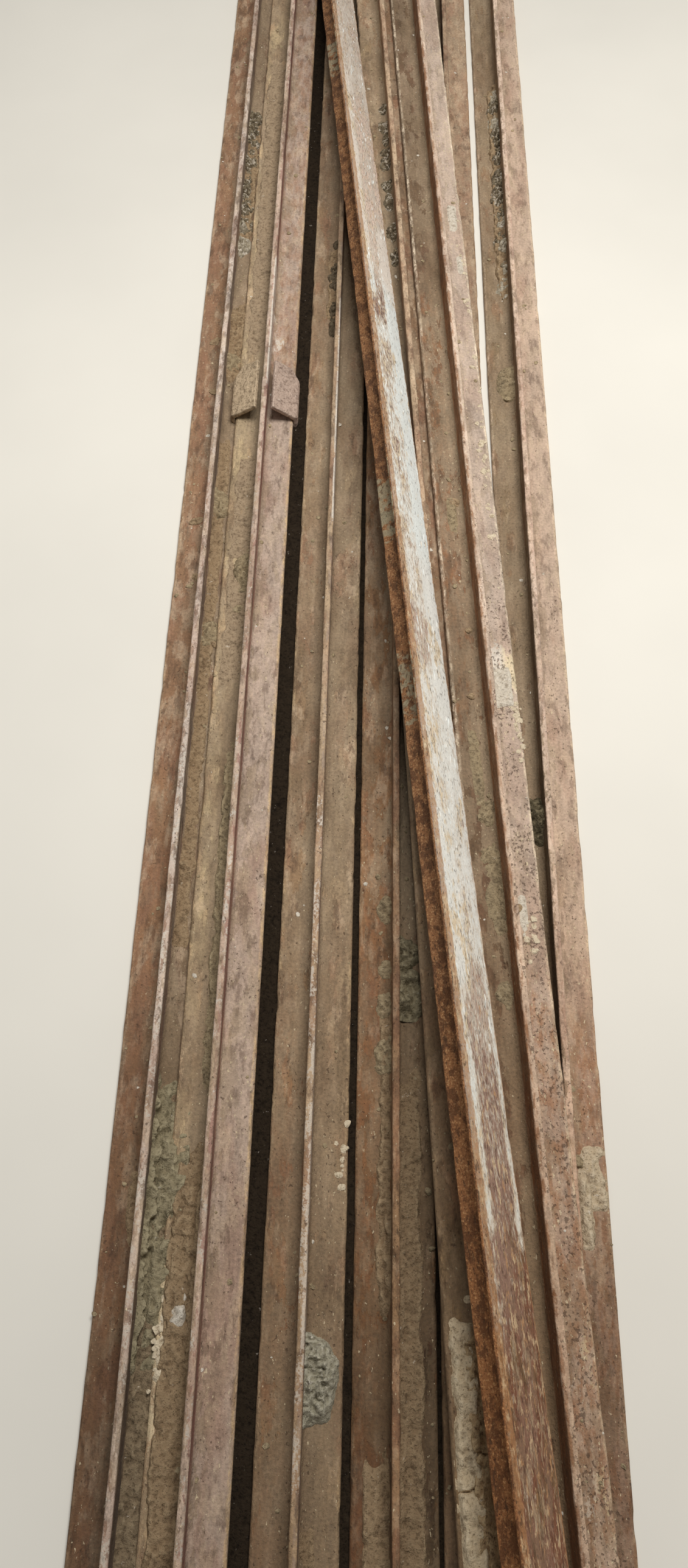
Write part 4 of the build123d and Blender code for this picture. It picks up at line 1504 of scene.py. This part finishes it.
def weathered_clip(node, seed, lumpy, finish):
    """A finely meshed copy of a clip, swollen by rust and mud, in place of its CAD part."""
    piece = bpy.data.objects.new(node + "_skin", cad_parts[node].data.copy())
    bpy.context.scene.collection.objects.link(piece)
    even = piece.modifiers.new("even_mesh", "REMESH")
    even.mode = "VOXEL"
    even.voxel_size = 0.7 * MM
    solid = piece.evaluated_get(bpy.context.evaluated_depsgraph_get())
    piece.data = bpy.data.meshes.new_from_object(solid)
    piece.modifiers.clear()
    mesh = piece.data
    points = np.empty(len(mesh.vertices) * 3, np.float32)
    mesh.vertices.foreach_get("co", points)
    points = points.reshape(-1, 3).astype(float)
    normals = np.array([vertex.normal for vertex in mesh.vertices])
    relief = 0.22 * MM * grain(points, 5 * MM, seed) + 0.12 * MM * grain(points, 1.8 * MM, seed + 1)
    facing_up = smooth_step(0.2, 0.8, normals[:, 2])
    relief += lumpy * smooth_step(0.0, 0.7, grain(points, 6 * MM, seed + 2)) * facing_up
    points += normals * relief[:, None]
    mesh.vertices.foreach_set("co", points.astype(np.float32).ravel())
    mesh.materials.clear()
    mesh.materials.append(finish)
    mesh.shade_smooth()
    store_vectors(mesh, "place", points - points.mean(0))
    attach(piece, "root")
    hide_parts(node)
    return len(mesh.polygons)


TAN_CLIP = caked_finish("tan_clip", 9.0, (120, 101, 78), (188, 165, 136), (210, 189, 159), 0.03, 1.0)
PINK_CLIP = caked_finish("pink_clip", 10.0, (118, 96, 84), (182, 158, 142), (206, 186, 170), 0.08, 1.0)
print("left clip quads:", weathered_clip("edge_clip_left", 50, 0.9 * MM, TAN_CLIP))
print("right clip quads:", weathered_clip("edge_clip_right", 60, 0.4 * MM, PINK_CLIP))

# %% [markdown]
# ## Floor, light and camera
#
# The bundle lies on a plain pale floor, with only a faint cloudiness. The floor is part of the stage
# and not of the part.

# %% Lay the floor
FLOOR_TONE = tone(222, 218, 208)
FLOOR_HALF = 12.0
floor_recipe = Recipe("floor_finish")
floor_place = floor_recipe.node("ShaderNodeNewGeometry", {}, "Position")
floor_cloud = floor_recipe.noise(floor_place, 0.35, 4.0)
floor_colour = floor_recipe.shade(FLOOR_TONE, floor_recipe.plus(0.9, floor_recipe.times(floor_cloud, 0.2)))
floor_material = floor_recipe.finish(floor_colour, 0.8)

floor_mesh = bpy.data.meshes.new("floor")
floor_corners = [(x * FLOOR_HALF, y * FLOOR_HALF, 0) for x, y in ((-1, -1), (1, -1), (1, 1), (-1, 1))]
floor_mesh.from_pydata(floor_corners, [], [(0, 1, 2, 3)])
floor_mesh.materials.append(floor_material)
floor = bpy.data.objects.new("floor", floor_mesh)
bpy.context.scene.collection.objects.link(floor)
print("the floor is", 2 * FLOOR_HALF, "m wide")

# %% [markdown]
# One broad lamp hangs overhead, a little to the right and past the middle. It gives the soft shadows
# in the gaps, and an even pale world fills them.

# %% Hang the lamp
LAMP_PLACE = (0.3, 0.2, 1.75)
LAMP_TILT = math.radians(8)
world = bpy.data.worlds.new("studio")
world.use_nodes = True
world.node_tree.nodes["Background"].inputs["Color"].default_value = (1.0, 0.99, 0.97, 1)
world.node_tree.nodes["Background"].inputs["Strength"].default_value = 0.3
bpy.context.scene.world = world

lamp_data = bpy.data.lights.new("overhead", "AREA")
lamp_data.shape = "RECTANGLE"
lamp_data.size = 0.9
lamp_data.size_y = 0.7
lamp_data.energy = 33
lamp_data.color = (1.0, 0.985, 0.96)
lamp = bpy.data.objects.new("overhead", lamp_data)
lamp.location = LAMP_PLACE
lamp.rotation_euler = (0, LAMP_TILT, 0)
bpy.context.scene.collection.objects.link(lamp)
print("the lamp hangs", LAMP_PLACE[2], "m above the floor and gives", lamp_data.energy, "W")

# %% [markdown]
# The camera looks steeply down along the bars from less than a metre above the floor.
# It is turned a little to the left of straight ahead.

# %% Aim the camera
CAMERA_PLACE = (-0.0153, -0.7493, 0.9295)
CAMERA_TURN = (math.radians(27.34), 0, math.radians(1.34))
camera_data = bpy.data.cameras.new("camera")
camera_data.sensor_width = 36
camera_data.lens = 27.07
camera = bpy.data.objects.new("camera", camera_data)
camera.location = CAMERA_PLACE
camera.rotation_euler = CAMERA_TURN
bpy.context.scene.collection.objects.link(camera)
bpy.context.scene.camera = camera
bpy.context.scene.view_settings.view_transform = "Standard"
print("the camera is", CAMERA_PLACE[2], "m above the floor with a lens of", camera_data.lens, "mm")

# %% Finish
print("the scene is set")
